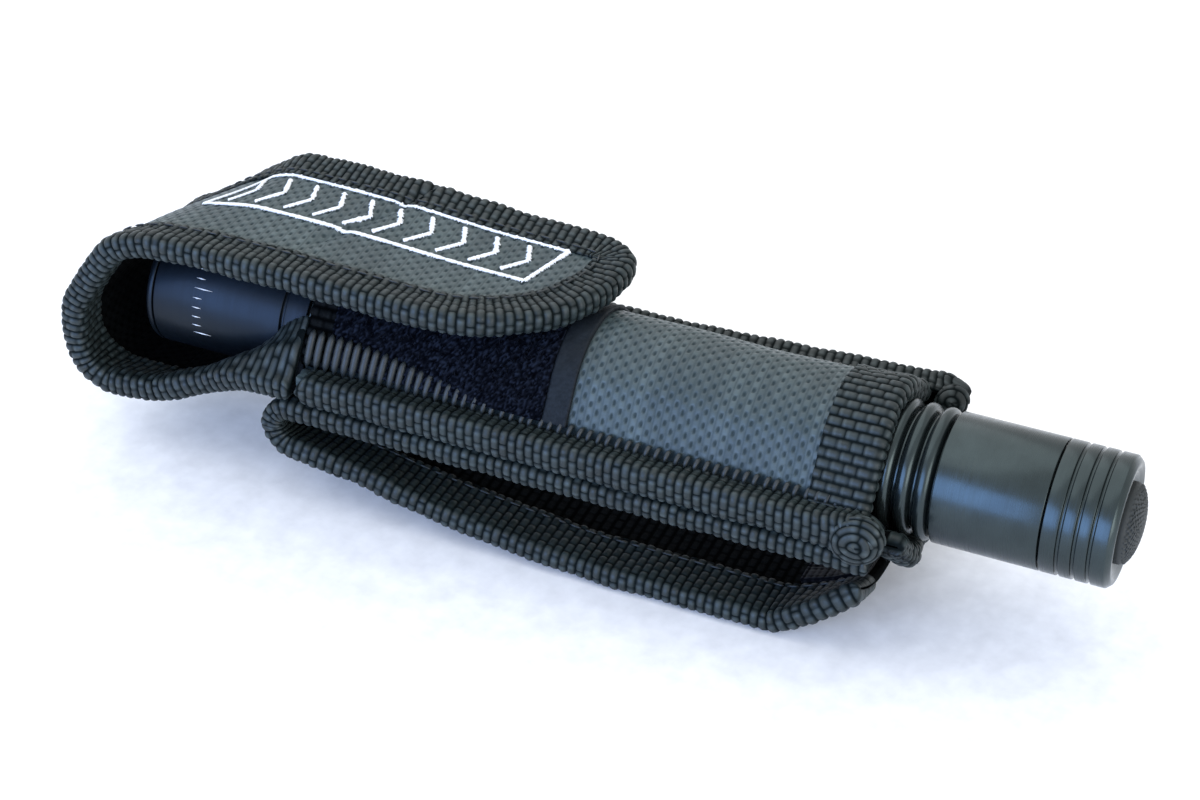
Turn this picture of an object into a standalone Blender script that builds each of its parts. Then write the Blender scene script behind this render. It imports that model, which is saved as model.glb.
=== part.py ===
"""Two-cell tactical flashlight in its woven belt pouch, as an assembly of separate pieces.

Every shape is laid out in millimetres in the light's own frame: x runs along the light's axis
towards the tail, zero at the joint between the body and the tail cap; y is across; z is up from
the axis. CENTRE_X and FLOOR_Z then set the whole, in metres, on the surface that it rests on.
"""
import math

import bmesh
import bpy
import numpy as np

MM = 0.001

# ---- Driving dimensions, in millimetres -------------------------------------------------------
TUBE_R = 10.0                  # radius of the light's head, body and tail cap
HEAD_FRONT = -147.0            # front face of the bezel ring
HEAD_JOINT = -118.3            # where the head meets the body
CAP_END = 11.0                 # end face of the tail cap
BOOT_END = 13.0                # top of the rubber switch boot
CELL_R = 7.1                   # AA cell
CELL_LENGTH = 50.5
CELL_REAR = -14.0              # rear face of the rear cell
GAP = 0.3                      # clearance between pieces that touch
SPRING_WIRE = 0.4              # radius of the contact springs' wire

STRAP_HALF = 17.5              # half the width of the pouch and its belt loop
FLAP_HALF = 14.8               # half the width of the flap
FABRIC = 1.5                   # thickness of the pouch's panels
FLAP_THICKNESS = 2.0           # the flap is two layers over a stiffener
STRAP_THICKNESS = 1.4          # the belt strap
TAPE = 0.8                     # edge binding tape
TAPE_OUT = TAPE + GAP          # how far the tape stands past an edge
POUCH_MOUTH = -116.0
POUCH_HEM = -25.0
BACK_END = -21.0
PATCH = 0.8                    # thickness of the patches and hems laid on the panels
BASE_HEM_END = -33.4           # how far the base hem reaches up the front panel
PANEL_R = 11.45                # middle of the panels, where they are drawn tight over the light
SEAM_HALF = 14.0               # where the panels leave the flat side seams
SEAM_LIFT = 0.9                # middle of each panel above or below the seam plane
STRAP_R = 13.3                 # middle of the belt strap, where it is drawn under the pouch
STRAP_SEAM = 15.0
STRAP_DROP = 5.4               # the belt strap's edges below the seam plane

FLAP_TIP = -72.0
FLAP_CORNER = 13.0             # radius of the flap's rounded corners
CURL_LEFT = -155.9             # middle of the fabric where it turns up in front of the head
FLAP_HINGE_Z = 0.8
LOOP_LEFT = -121.6             # middle of the belt strap at its fold
LOOP_FOLD = -117.0             # where the fold begins
LOOP_HINGE_Z = -9.4
REST_Z = -21.5                 # middle of the belt loop's flat underside
STRAP_SLOT = STRAP_THICKNESS / 2 + 0.4    # from a strap's middle to the inside of its tape
LOOP_TAPE_HALF = STRAP_SLOT + TAPE        # and to the tape's face

FLOOR_Z = REST_Z - LOOP_TAPE_HALF
NECK_SLOT = FLAP_THICKNESS / 2 + 2 * GAP
LEFT_END = CURL_LEFT - NECK_SLOT - TAPE
CENTRE_X = (LEFT_END + BOOT_END) / 2

ROUND_STEPS = 36
INNER_STEPS = 24


# ---- Helpers ----------------------------------------------------------------------------------
def clear_scene():
    for thing in list(bpy.data.objects):
        bpy.data.objects.remove(thing, do_unlink=True)


def material(name, colour, roughness, metallic=0.0):
    made = bpy.data.materials.new(name)
    made.use_nodes = True
    shader = made.node_tree.nodes["Principled BSDF"]
    shader.inputs["Base Color"].default_value = (*colour, 1.0)
    shader.inputs["Roughness"].default_value = roughness
    shader.inputs["Metallic"].default_value = metallic
    return made


def pivot(name, x, z):
    """An empty on a joint's axis, which runs through (x, z) in the light's frame."""
    empty = bpy.data.objects.new(name, None)
    empty.location = ((x - CENTRE_X) * MM, 0.0, (z - FLOOR_Z) * MM)
    bpy.context.scene.collection.objects.link(empty)
    empty["at"] = (x, z)
    return empty


def finish_object(name, mesh_builder, surface, parent, smooth=40.0):
    """Turn a bmesh in the light's frame into an object hung on its parent's axis."""
    x, z = parent["at"]
    for vert in mesh_builder.verts:
        vert.co.x = (vert.co.x - x) * MM
        vert.co.y = vert.co.y * MM
        vert.co.z = (vert.co.z - z) * MM
    bmesh.ops.recalc_face_normals(mesh_builder, faces=mesh_builder.faces[:])
    mesh = bpy.data.meshes.new(name)
    mesh_builder.to_mesh(mesh)
    mesh_builder.free()
    mesh.shade_smooth()
    mesh.set_sharp_from_angle(angle=math.radians(smooth))
    mesh.materials.append(surface)
    made = bpy.data.objects.new(name, mesh)
    bpy.context.scene.collection.objects.link(made)
    made.parent = parent
    return made


def turned(name, outline, surface, parent, steps=INNER_STEPS):
    """Turn a closed outline of (x, radius) points about the light's axis."""
    builder = bmesh.new()
    verts = [builder.verts.new((x, 0.0, radius)) for x, radius in outline]
    edges = [builder.edges.new((verts[i - 1], verts[i])) for i in range(len(verts))]
    bmesh.ops.spin(builder, geom=verts + edges, cent=(0, 0, 0), axis=(1, 0, 0),
                   angle=2 * math.pi, steps=steps, use_merge=True)
    bmesh.ops.remove_doubles(builder, verts=builder.verts[:], dist=0.0001)
    bmesh.ops.dissolve_degenerate(builder, edges=builder.edges[:], dist=0.0001)
    loose = [face for face in builder.faces if face.calc_area() < 1e-9]
    bmesh.ops.delete(builder, geom=loose, context="FACES")
    return finish_object(name, builder, surface, parent)


def ring(name, x, major, minor, surface, parent):
    """An O-ring of round section."""
    section = 8
    outline = []
    for i in range(section):
        angle = 2 * math.pi * i / section
        outline.append((x + minor * math.cos(angle), major + minor * math.sin(angle)))
    return turned(name, outline, surface, parent)


def lofted(sections):
    """A bmesh whose sides join equal rings of points, with both ends left open, and its rings."""
    builder = bmesh.new()
    rings = [[builder.verts.new(point) for point in section] for section in sections]
    count = len(rings[0])
    for first, second in zip(rings, rings[1:]):
        for i in range(count):
            j = (i + 1) % count
            builder.faces.new((first[i], first[j], second[j], second[i]))
    return builder, rings


def swept(name, sections, surface, parent):
    """Join equal rings of points into one closed body."""
    builder, rings = lofted(sections)
    ends = [builder.faces.new(rings[0]), builder.faces.new(rings[-1])]
    bmesh.ops.triangulate(builder, faces=ends)
    return finish_object(name, builder, surface, parent)


def coil(name, radius, wire, start, end, turns, surface, parent):
    """A wire spring between two stations on the light's axis."""
    per_turn = 14
    sides = 6
    sections = []
    for step in range(turns * per_turn + 1):
        angle = 2 * math.pi * step / per_turn
        x = start + (end - start) * step / (turns * per_turn)
        section = []
        for side in range(sides):
            around = 2 * math.pi * side / sides
            reach = radius + wire * math.cos(around)
            section.append((x + wire * math.sin(around),
                            reach * math.cos(angle), reach * math.sin(angle)))
        sections.append(section)
    return swept(name, sections, surface, parent)


def smooth_through(places, values):
    """A curve through the given values that never overshoots them."""
    xs = np.array(places, dtype=float)
    ys = np.array(values, dtype=float)
    order = np.argsort(xs)
    xs = xs[order]
    ys = ys[order]
    steps = np.diff(xs)
    slopes = np.diff(ys) / steps
    tangents = np.zeros(len(xs))
    tangents[0] = slopes[0]
    tangents[-1] = slopes[-1]
    for i in range(1, len(xs) - 1):
        if slopes[i - 1] * slopes[i] > 0:
            tangents[i] = 2 * slopes[i - 1] * slopes[i] / (slopes[i - 1] + slopes[i])

    def value(x):
        i = int(np.clip(np.searchsorted(xs, x) - 1, 0, len(steps) - 1))
        t = (x - xs[i]) / steps[i]
        if t < 0:
            return float(ys[0] + tangents[0] * (x - xs[0]))
        if t > 1:
            return float(ys[-1] + tangents[-1] * (x - xs[-1]))
        return float((1 + 2 * t) * (1 - t) ** 2 * ys[i] + t * (1 - t) ** 2 * steps[i] * tangents[i]
                     + t * t * (3 - 2 * t) * ys[i + 1] - t * t * (1 - t) * steps[i] * tangents[i + 1])
    return value


def taut(y, radius, seam, lift):
    """Height of cloth drawn tight over a round of this radius from seams at (seam, lift)."""
    across = abs(y)
    if across >= seam:
        return lift
    touch = math.atan2(lift, seam) + math.acos(radius / math.hypot(seam, lift))
    touch_y = radius * math.cos(touch)
    if across <= touch_y:
        return math.sqrt(radius * radius - across * across)
    touch_z = radius * math.sin(touch)
    return lift + (touch_z - lift) * (seam - across) / (seam - touch_y)


class Cloth:
    """A sheet given by the middle of its thickness at (u, y), with offsets along its normal."""

    def __init__(self, middle):
        self.middle = middle

    def normal(self, u, y):
        small = 0.02
        along = np.subtract(self.middle(u + small, y), self.middle(u - small, y))
        across = np.subtract(self.middle(u, y + small), self.middle(u, y - small))
        up = np.cross(along, across)
        return up / np.linalg.norm(up)

    def offset(self, u, y, height):
        return tuple(np.array(self.middle(u, y)) + self.normal(u, y) * height)


def full_width(u):
    return STRAP_HALF


def panel(name, cloth, rows, columns, thickness, surface, parent, half=full_width, lift=0.0):
    """A sheet with two faces. rows are places along it; columns run from -1 to 1 across it.

    thickness is a number, or a function of the place along the sheet.
    """
    sections = []
    for u in rows:
        width = half(u)
        thick = thickness(u) if callable(thickness) else thickness
        top = [cloth.offset(u, c * width, lift + thick / 2) for c in columns]
        bottom = [cloth.offset(u, c * width, lift - thick / 2) for c in reversed(columns)]
        sections.append(top + bottom)
    builder, rings = lofted(sections)
    count = len(rings[0])
    for end in (rings[0], rings[-1]):
        for i in range(len(columns) - 1):
            builder.faces.new((end[i], end[i + 1], end[count - 2 - i], end[count - 1 - i]))
    return finish_object(name, builder, surface, parent)


def tape(name, cloth, route, slot, reach, surface, parent):
    """Binding folded over an edge. route holds (u, y, inward u, inward y) along the edge."""
    half_out = slot + TAPE
    outline = [(reach, half_out), (-TAPE_OUT, half_out), (-TAPE_OUT, -half_out), (reach, -half_out),
               (reach, -slot), (-GAP, -slot), (-GAP, slot), (reach, slot)]
    sections = []
    for u, y, inward_u, inward_y in route:
        sections.append([cloth.offset(u + inward_u * depth, y + inward_y * depth, height)
                         for depth, height in outline])
    return swept(name, sections, surface, parent)


def spaced(start, end, count):
    return [start + (end - start) * i / (count - 1) for i in range(count)]


# ---- The light --------------------------------------------------------------------------------
def grip_ridges():
    """Four rounded ridges turned in the body in front of the tail, as (x, radius) points."""
    first = -28.15
    pitch = 2.9
    count = 4
    valley = TUBE_R - 0.6
    height = 0.9
    steps = 7
    points = []
    for i in range(count * steps + 1):
        phase = i / steps
        rise = abs(math.sin(math.pi * phase)) ** 0.6
        points.append((first + pitch * phase, valley + height * rise))
    return points


def groove(x, width, depth, radius=TUBE_R):
    half = width / 2
    return [(x - half, radius), (x - half, radius - depth), (x + half, radius - depth),
            (x + half, radius)]


def disc(name, front, rear, radius, surface, parent, steps=INNER_STEPS):
    """A plain round disc on the light's axis."""
    outline = [(front, 0.0), (front, radius), (rear, radius), (rear, 0.0)]
    return turned(name, outline, surface, parent, steps)


def build_head(looks, axis):
    bore = TUBE_R - 1.0
    front = HEAD_FRONT + 1.5
    end = HEAD_JOINT - 0.2
    dark_ring = groove(-122.6, 0.7, 0.55)
    outline = [(front, TUBE_R), *dark_ring, (end, TUBE_R), (end, bore), (front, bore)]
    turned("head_shell", outline, looks["anodised"], axis, ROUND_STEPS)

    skirt = bore - GAP
    opening = 7.9
    chamfer = 0.7
    skirt_end = front + 2.0
    outline = [(HEAD_FRONT, opening), (HEAD_FRONT, TUBE_R - chamfer), (HEAD_FRONT + chamfer, TUBE_R),
               (front - GAP, TUBE_R), (front - GAP, skirt), (skirt_end, skirt), (skirt_end, opening)]
    turned("bezel_ring", outline, looks["anodised"], axis, ROUND_STEPS)

    lens_front = skirt_end + GAP
    lens_back = lens_front + 1.5
    seal = 0.4
    disc("lens", lens_front, lens_back, bore - seal, looks["glass"], axis, ROUND_STEPS)
    ring("lens_o_ring", lens_back + 0.7, 8.1, seal, looks["rubber"], axis)
    build_reflector(looks, axis, lens_back + 1.3)
    build_emitter(looks, axis)
    build_driver(looks, axis, skirt)


def build_reflector(looks, axis, front):
    rear = -130.6
    hole = 2.7
    rim = 7.9
    wall = 8.5
    steps = 7
    outline = []
    for i in range(steps + 1):
        share = i / steps
        outline.append((rear + (front - rear) * share, hole + (rim - hole) * math.sqrt(share)))
    outline += [(front, wall), (rear, wall)]
    turned("reflector", outline, looks["chrome"], axis)


def build_emitter(looks, axis):
    """The domed LED, through the reflector's hole, on its metal board."""
    board_front = -130.0
    board = 1.2
    disc("led_board", board_front, board_front + board, 8.0, looks["aluminium"], axis)
    dome_r = 1.75
    base = board_front - GAP
    outline = [(base - 2.0, 0.0), (base - 1.8, 0.9), (base - 1.1, 1.6), (base - 0.6, dome_r),
               (base, dome_r), (base, 0.0)]
    turned("led_emitter", outline, looks["emitter"], axis)


def build_driver(looks, axis, skirt):
    """The brass pill that carries the LED, the driver in its recess, and the contact spring."""
    pill_front = -128.5
    pill_end = -123.8
    recess = -126.4
    recess_r = 7.8
    outline = [(pill_front, 0.0), (pill_front, skirt), (pill_end, skirt), (pill_end, recess_r),
               (recess, recess_r), (recess, 0.0)]
    turned("led_pill", outline, looks["brass"], axis)
    board_front = recess + GAP
    board_end = board_front + 1.2
    disc("driver_board", board_front, board_end, recess_r - GAP, looks["circuit"], axis)
    spring_start = board_end + 0.8
    spring_end = CELL_REAR - 2 * CELL_LENGTH - GAP - 0.9
    coil("driver_spring", 3.0, SPRING_WIRE, spring_start, spring_end, 4, looks["steel"], axis)


def build_body(looks, axis):
    neck = TUBE_R - 1.3
    bore = CELL_R + 0.55
    counterbore = TUBE_R - 1.1
    front = -123.4
    shoulder = HEAD_JOINT + 0.2
    rear = -0.15
    thread_end = -9.3
    ring_seat = -119.8
    seat_half = 0.5
    seat_r = 8.15
    outline = [(front, bore), (front, neck), (ring_seat - seat_half, neck),
               (ring_seat - seat_half, seat_r), (ring_seat + seat_half, seat_r),
               (ring_seat + seat_half, neck), (shoulder, neck), (shoulder, TUBE_R),
               *grip_ridges(), (-16.4, TUBE_R), (rear, TUBE_R), (rear, counterbore),
               (thread_end, counterbore), (thread_end, bore)]
    turned("body_tube", outline, looks["anodised"], axis, ROUND_STEPS)
    ring("head_o_ring", ring_seat, 8.58, 0.28, looks["rubber"], axis)
    build_cells(looks, axis)


def build_cells(looks, axis):
    """Two AA cells end to end, each with its contact nub towards the head."""
    nub = 2.75
    nub_length = 1.3
    for index, label in enumerate(("rear", "front")):
        rear = CELL_REAR - index * (CELL_LENGTH + GAP)
        tip = rear - CELL_LENGTH
        shoulder = tip + nub_length
        outline = [(rear, 0.0), (rear, CELL_R), (shoulder, CELL_R), (shoulder, nub), (tip, nub),
                   (tip, 0.0)]
        turned("battery_" + label, outline, looks["battery"], axis)


def build_tail(looks, axis):
    skirt = 8.6
    skirt_end = -8.7
    cavity = 7.4
    lip = 6.6
    lip_start = 9.0
    face = 0.15
    chamfer = 0.8
    ring_seat = -1.6
    seat_half = 0.6
    seat_r = 8.0
    grooves = []
    for x in (2.75, 5.1, 7.4):
        grooves += groove(x, 0.6, 0.4)
    outline = [(skirt_end, cavity), (skirt_end, skirt), (ring_seat - seat_half, skirt),
               (ring_seat - seat_half, seat_r), (ring_seat + seat_half, seat_r),
               (ring_seat + seat_half, skirt), (face, skirt), (face, TUBE_R), *grooves,
               (CAP_END - chamfer, TUBE_R), (CAP_END, TUBE_R - chamfer), (CAP_END, lip),
               (lip_start, lip), (lip_start, cavity)]
    turned("tail_cap", outline, looks["anodised"], axis, ROUND_STEPS)
    ring("tail_o_ring", ring_seat, 8.48, 0.32, looks["rubber"], axis)
    build_switch(looks, axis)
    build_boot(looks, axis)


def build_switch(looks, axis):
    """The switch's housing and plunger, the brass ring that holds it, and the contact spring."""
    housing_r = 7.0
    housing_front = -5.0
    housing_end = 5.9
    well = 2.4
    well_floor = 1.8
    outline = [(housing_end, housing_r), (housing_front, housing_r), (housing_front, 0.0),
               (well_floor, 0.0), (well_floor, well), (housing_end, well)]
    turned("switch_housing", outline, looks["plastic"], axis)
    disc("switch_plunger", 3.6, 10.8, well - 0.35, looks["plastic"], axis)
    ring_bore = 4.2
    ring_r = 7.1
    ring_front = -7.6
    ring_end = -5.4
    outline = [(ring_front, ring_bore), (ring_front, ring_r), (ring_end, ring_r), (ring_end, ring_bore)]
    turned("switch_retaining_ring", outline, looks["brass"], axis)
    coil("tail_spring", 3.1, SPRING_WIRE, -5.8, CELL_REAR + 0.8, 4, looks["steel"], axis)


def build_boot(looks, axis):
    """Rubber dome over the switch, with a flange behind the tail cap's lip."""
    wall_r = 6.2
    wall = 1.6
    crown = 0.9
    dome_start = 10.6
    flange_r = 7.1
    flange_front = 7.9
    flange_end = 8.7
    steps = 6
    outer = []
    inner = []
    for i in range(steps + 1):
        angle = 0.5 * math.pi * i / steps
        outer.append((dome_start + (BOOT_END - dome_start) * math.cos(angle),
                      wall_r * math.sin(angle)))
        inner.append((dome_start + (BOOT_END - dome_start - crown) * math.cos(angle),
                      (wall_r - wall) * math.sin(angle)))
    outline = [*outer, (flange_end, wall_r), (flange_end, flange_r), (flange_front, flange_r),
               (flange_front, wall_r - wall), *reversed(inner)]
    turned("switch_boot", outline, looks["rubber"], axis, ROUND_STEPS)


# ---- The pouch --------------------------------------------------------------------------------
def back_cloth():
    """The back panel: tight under the light, then forward past the mouth and up as the curl."""
    route = [(BACK_END, -PANEL_R, 1.0), (POUCH_MOUTH, -PANEL_R, 1.0), (-126.0, -11.9, 0.83),
             (-134.0, -12.4, 0.55), (-142.0, -12.8, 0.25), (-149.0, -11.6, 0.11),
             (-153.4, -7.9, 0.05), (-155.5, -3.5, 0.0), (CURL_LEFT, FLAP_HINGE_Z, 0.0)]
    lengths = [0.0]
    for first, second in zip(route, route[1:]):
        lengths.append(lengths[-1] + math.hypot(second[0] - first[0], second[1] - first[1]))
    x_at = smooth_through(lengths, [point[0] for point in route])
    z_at = smooth_through(lengths, [point[1] for point in route])
    cup_at = smooth_through(lengths, [point[2] for point in route])

    def middle(s, y):
        rise = (PANEL_R - taut(y, PANEL_R, SEAM_HALF, SEAM_LIFT)) * cup_at(s)
        return (x_at(s), y, z_at(s) + rise)
    return Cloth(middle), lengths


def flap_cloth():
    """The flap: from its hinge in front of the head, over the head and back along the pouch.

    Its near edge turns over in a round curl, and its far edge slopes up more gently.
    """
    flat = [(-110.0, 16.6), (-90.0, 16.5), (FLAP_TIP, 16.5)]
    near = [(CURL_LEFT, FLAP_HINGE_Z), (-155.4, 5.4), (-152.9, 10.6), (-148.4, 14.6),
            (-141.5, 16.5), (-130.0, 16.9), *flat]
    far = [(CURL_LEFT, FLAP_HINGE_Z), (-155.0, 3.9), (-149.8, 6.8), (-142.8, 9.8),
           (-135.8, 12.8), (-127.0, 15.4), *flat]
    lengths = [0.0]
    for first, second in zip(near, near[1:]):
        lengths.append(lengths[-1] + math.hypot(second[0] - first[0], second[1] - first[1]))
    sides = []
    for route in (near, far):
        sides.append((smooth_through(lengths, [point[0] for point in route]),
                      smooth_through(lengths, [point[1] for point in route])))

    def middle(s, y):
        share = max(0.0, (y + FLAP_HALF) / (2 * FLAP_HALF)) ** 1.6
        (near_x, near_z), (far_x, far_z) = sides
        return (near_x(s) * (1 - share) + far_x(s) * share, y,
                near_z(s) * (1 - share) + far_z(s) * share)
    return Cloth(middle), lengths[-1]


def strap_height(y):
    return -taut(y, STRAP_R, STRAP_SEAM, STRAP_DROP)


def loop_height():
    places = (-117.0, -106.0, -95.0, -86.0, -80.0, -38.0, -32.0, -23.5)
    heights = (-16.4, -16.9, -18.9, -20.7, REST_Z, REST_Z, -20.4, -17.2)
    cups = (2.6, 1.4, 0.4, 0.1, 0.0, 0.0, 2.0, 6.9)
    base = smooth_through(places, heights)
    cup = smooth_through(places, cups)

    def height(x, y):
        return base(x) + cup(x) * (y / STRAP_HALF) ** 2
    return height


def fold_point(angle, y, height):
    """A point on the belt strap's fold, from the sewn layer (0) to the loop (pi)."""
    upper = strap_height(y)
    lower = height(LOOP_FOLD, y)
    x = LOOP_FOLD + (LOOP_LEFT - LOOP_FOLD) * math.sin(angle)
    return (x, y, (upper + lower) / 2 + (upper - lower) / 2 * math.cos(angle))


def strap_cloth():
    """The sewn layer, u from the tail end to the fold, then half of the fold's turn."""
    height = loop_height()
    turn = 7.0

    def middle(u, y):
        if u <= -LOOP_FOLD:
            return (-u, y, strap_height(y))
        return fold_point(0.5 * math.pi * (u + LOOP_FOLD) / turn, y, height)
    return Cloth(middle), -LOOP_FOLD + turn


def loop_cloth():
    """The loop, u from the middle of the fold to the loop's tip."""
    height = loop_height()
    turn = 7.0

    def middle(u, y):
        if u < turn:
            return fold_point(math.pi - 0.5 * math.pi * (turn - u) / turn, y, height)
        x = LOOP_FOLD + (u - turn)
        return (x, y, height(x, y))
    return Cloth(middle), turn


def across_panel(seam):
    """Places across a panel: flat at the seams, then round over the light."""
    arc = spaced(-11.0, 11.0, 9)
    edges = (seam, seam - 1.4)
    places = [-STRAP_HALF, *[-y for y in edges], *arc, *reversed(edges), STRAP_HALF]
    return [y / STRAP_HALF for y in places]


def flap_half(length):
    def half(s):
        into = s - (length - FLAP_CORNER)
        if into <= 0:
            return FLAP_HALF
        into = min(into, FLAP_CORNER)
        return FLAP_HALF - FLAP_CORNER + math.sqrt(FLAP_CORNER ** 2 - into ** 2)
    return half


def flap_edge(length):
    """The flap's outline as one route: near side, round the tip, far side."""
    start = 0.4
    corner_s = length - FLAP_CORNER
    corner_y = FLAP_HALF - FLAP_CORNER
    steps = 6
    route = [(s, -FLAP_HALF, 0.0, 1.0) for s in flap_rows(corner_s, start)[:-1]]
    for side in (-1, 1):
        for i in range(steps + 1):
            angle = 0.5 * math.pi * i / steps
            if side > 0:
                angle = 0.5 * math.pi - angle
            out_s = math.sin(angle)
            out_y = side * math.cos(angle)
            route.append((corner_s + FLAP_CORNER * out_s, side * corner_y + FLAP_CORNER * out_y,
                          -out_s, -out_y))
    route += [(s, FLAP_HALF, 0.0, -1.0) for s in reversed(flap_rows(corner_s, start)[:-1])]
    return route


def flap_rows(end, start=0.4):
    """Rows along the flap, close together round the curl and wide apart along the flat."""
    bend = 26.0
    return [*spaced(start, bend, 11), *spaced(bend, end, 7)[1:]]


def build_flap(looks, hinge):
    cloth, length = flap_cloth()
    corner_rows = [length - FLAP_CORNER * (1 - math.sin(0.5 * math.pi * i / 5)) for i in range(1, 6)]
    rows = [*flap_rows(length - FLAP_CORNER), *corner_rows]
    columns = spaced(-1.0, 1.0, 5)
    panel("flap", cloth, rows, columns, FLAP_THICKNESS, looks["nylon"], hinge, flap_half(length))
    slot = FLAP_THICKNESS / 2 + GAP
    tape("flap_binding", cloth, flap_edge(length), slot, 3.2, looks["webbing"], hinge)
    inside = -(FLAP_THICKNESS / 2 + GAP + PATCH / 2)
    patch_start = length - 40.0
    patch_end = length - 6.0
    patch_half = 8.0
    panel("flap_hook_patch", cloth, spaced(patch_start, patch_end, 4), spaced(-1.0, 1.0, 3), PATCH,
          looks["hook"], hinge, lambda s: patch_half, lift=inside * side_of(cloth, patch_end))


def side_of(cloth, u):
    """1 where the cloth's normal points up, -1 where it points down."""
    return 1.0 if cloth.normal(u, 0.0)[2] > 0 else -1.0


def build_panels(looks, root):
    cloth, lengths = back_cloth()
    columns = across_panel(SEAM_HALF)
    mouth = lengths[1]
    curl = [*spaced(mouth + 4.0, lengths[-1] - 0.4, 15)]
    rows = [0.0, mouth * 0.5, mouth, *curl]
    thick = smooth_through((0.0, mouth + 4.0, mouth + 14.0, lengths[-1]),
                           (FABRIC, FABRIC, FLAP_THICKNESS, FLAP_THICKNESS))
    half = smooth_through((0.0, mouth, mouth + 22.0, lengths[-1]),
                          (STRAP_HALF, STRAP_HALF, FLAP_HALF, FLAP_HALF))
    panel("back_panel", cloth, rows, columns, thick, looks["nylon"], root, half)
    for label, side in (("near", -1), ("far", 1)):
        route = [(s, side * half(s), 0.0, -side) for s in [mouth + 3.0, *curl[1:]]]
        tape("neck_binding_" + label, cloth, route, NECK_SLOT, 2.2, looks["webbing"], root)

    front = Cloth(lambda x, y: (x, y, taut(y, PANEL_R, SEAM_HALF, SEAM_LIFT)))
    panel("front_panel", front, spaced(POUCH_HEM, POUCH_MOUTH, 3), columns, FABRIC,
          looks["nylon"], root)
    up = side_of(front, -60.0)
    over = (FABRIC / 2 + GAP + PATCH / 2) * up
    arc = spaced(-1.0, 1.0, 11)
    cover = 12.2
    for name, start, end, look in (("front_loop_patch", -72.0, -110.4, "loop"),
                                   ("mouth_hem", -110.8, POUCH_MOUTH, "webbing"),
                                   ("base_hem", POUCH_HEM + 0.4, BASE_HEM_END, "webbing")):
        panel(name, front, spaced(start, end, 3), arc, PATCH, looks[look], root, lambda x: cover,
              lift=over)

    seam = Cloth(lambda x, y: (x, y, 0.0))
    for label, side in (("near", -1), ("far", 1)):
        route = [(x, side * STRAP_HALF, 0.0, -side) for x in (BACK_END - 0.6, POUCH_MOUTH - 1.6)]
        tape("side_binding_" + label, seam, route, SEAM_LIFT + FABRIC / 2 + GAP, 2.7,
             looks["webbing"], root)


def build_strap(looks, root):
    """The belt strap's sewn layer under the back panel."""
    cloth, end = strap_cloth()
    start = -POUCH_HEM + 0.5
    columns = across_panel(STRAP_SEAM)
    rows = [start, 60.0, -LOOP_FOLD, *spaced(-LOOP_FOLD + 1.2, end - 1.3, 5)]
    panel("back_strap", cloth, rows, columns, STRAP_THICKNESS, looks["webbing_flat"], root)
    for label, side in (("near", -1), ("far", 1)):
        route = [(u, side * STRAP_HALF, 0.0, -side) for u in rows]
        tape("strap_binding_" + label, cloth, route, STRAP_SLOT, 2.0, looks["webbing"], root)
    outward = side_of(cloth, 40.0)
    lift = -(STRAP_THICKNESS / 2 + GAP + 0.35) * outward
    panel("strap_loop_patch", cloth, spaced(start + 1.0, 58.0, 3), spaced(-1.0, 1.0, 9), 0.7,
          looks["loop"], root, lambda u: 9.0, lift=lift)


def build_loop(looks, hinge):
    """The belt loop, which opens downward at its fold."""
    cloth, turn = loop_cloth()
    columns = spaced(-1.0, 1.0, 9)
    tip = turn + (-24.0 - LOOP_FOLD)
    slope = turn + (-80.0 - LOOP_FOLD)
    flat_end = turn + (-38.0 - LOOP_FOLD)
    rows = [*spaced(1.3, turn, 5), *spaced(turn, slope, 8)[1:], flat_end,
            *spaced(flat_end, tip, 6)[1:]]
    panel("belt_loop", cloth, rows, columns, STRAP_THICKNESS, looks["webbing_flat"], hinge)
    for label, side in (("near", -1), ("far", 1)):
        route = [(u, side * STRAP_HALF, 0.0, -side) for u in rows]
        tape("loop_binding_" + label, cloth, route, STRAP_SLOT, 2.6, looks["webbing"], hinge)
    lift = (STRAP_THICKNESS / 2 + GAP + 0.35) * side_of(cloth, flat_end)
    panel("loop_hook_patch", cloth, spaced(flat_end + 3.0, tip - 0.5, 5), spaced(-1.0, 1.0, 7),
          0.7, looks["hook"], hinge, lambda u: 9.0, lift=lift)


# ---- The assembly -----------------------------------------------------------------------------
def surfaces():
    return {
        "anodised": material("black_anodised", (0.028, 0.030, 0.036), 0.32, 0.9),
        "nylon": material("ballistic_nylon", (0.035, 0.040, 0.046), 0.75),
        "webbing": material("binding_tape", (0.022, 0.024, 0.026), 0.8),
        "webbing_flat": material("strap_webbing", (0.020, 0.022, 0.024), 0.8),
        "hook": material("hook_tape", (0.012, 0.012, 0.013), 0.85),
        "loop": material("loop_pile", (0.012, 0.014, 0.020), 0.95),
        "rubber": material("black_rubber", (0.018, 0.018, 0.019), 0.65),
        "plastic": material("black_plastic", (0.03, 0.03, 0.03), 0.5),
        "glass": material("lens_glass", (0.85, 0.88, 0.9), 0.05),
        "chrome": material("reflector_chrome", (0.85, 0.85, 0.86), 0.08, 1.0),
        "aluminium": material("bare_aluminium", (0.75, 0.76, 0.78), 0.35, 1.0),
        "brass": material("brass", (0.70, 0.52, 0.22), 0.35, 1.0),
        "emitter": material("led_phosphor", (0.85, 0.72, 0.18), 0.3),
        "circuit": material("circuit_board", (0.03, 0.18, 0.08), 0.5),
        "steel": material("spring_steel", (0.62, 0.62, 0.63), 0.3, 1.0),
        "battery": material("battery_case", (0.18, 0.19, 0.21), 0.4, 0.3),
    }


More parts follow.
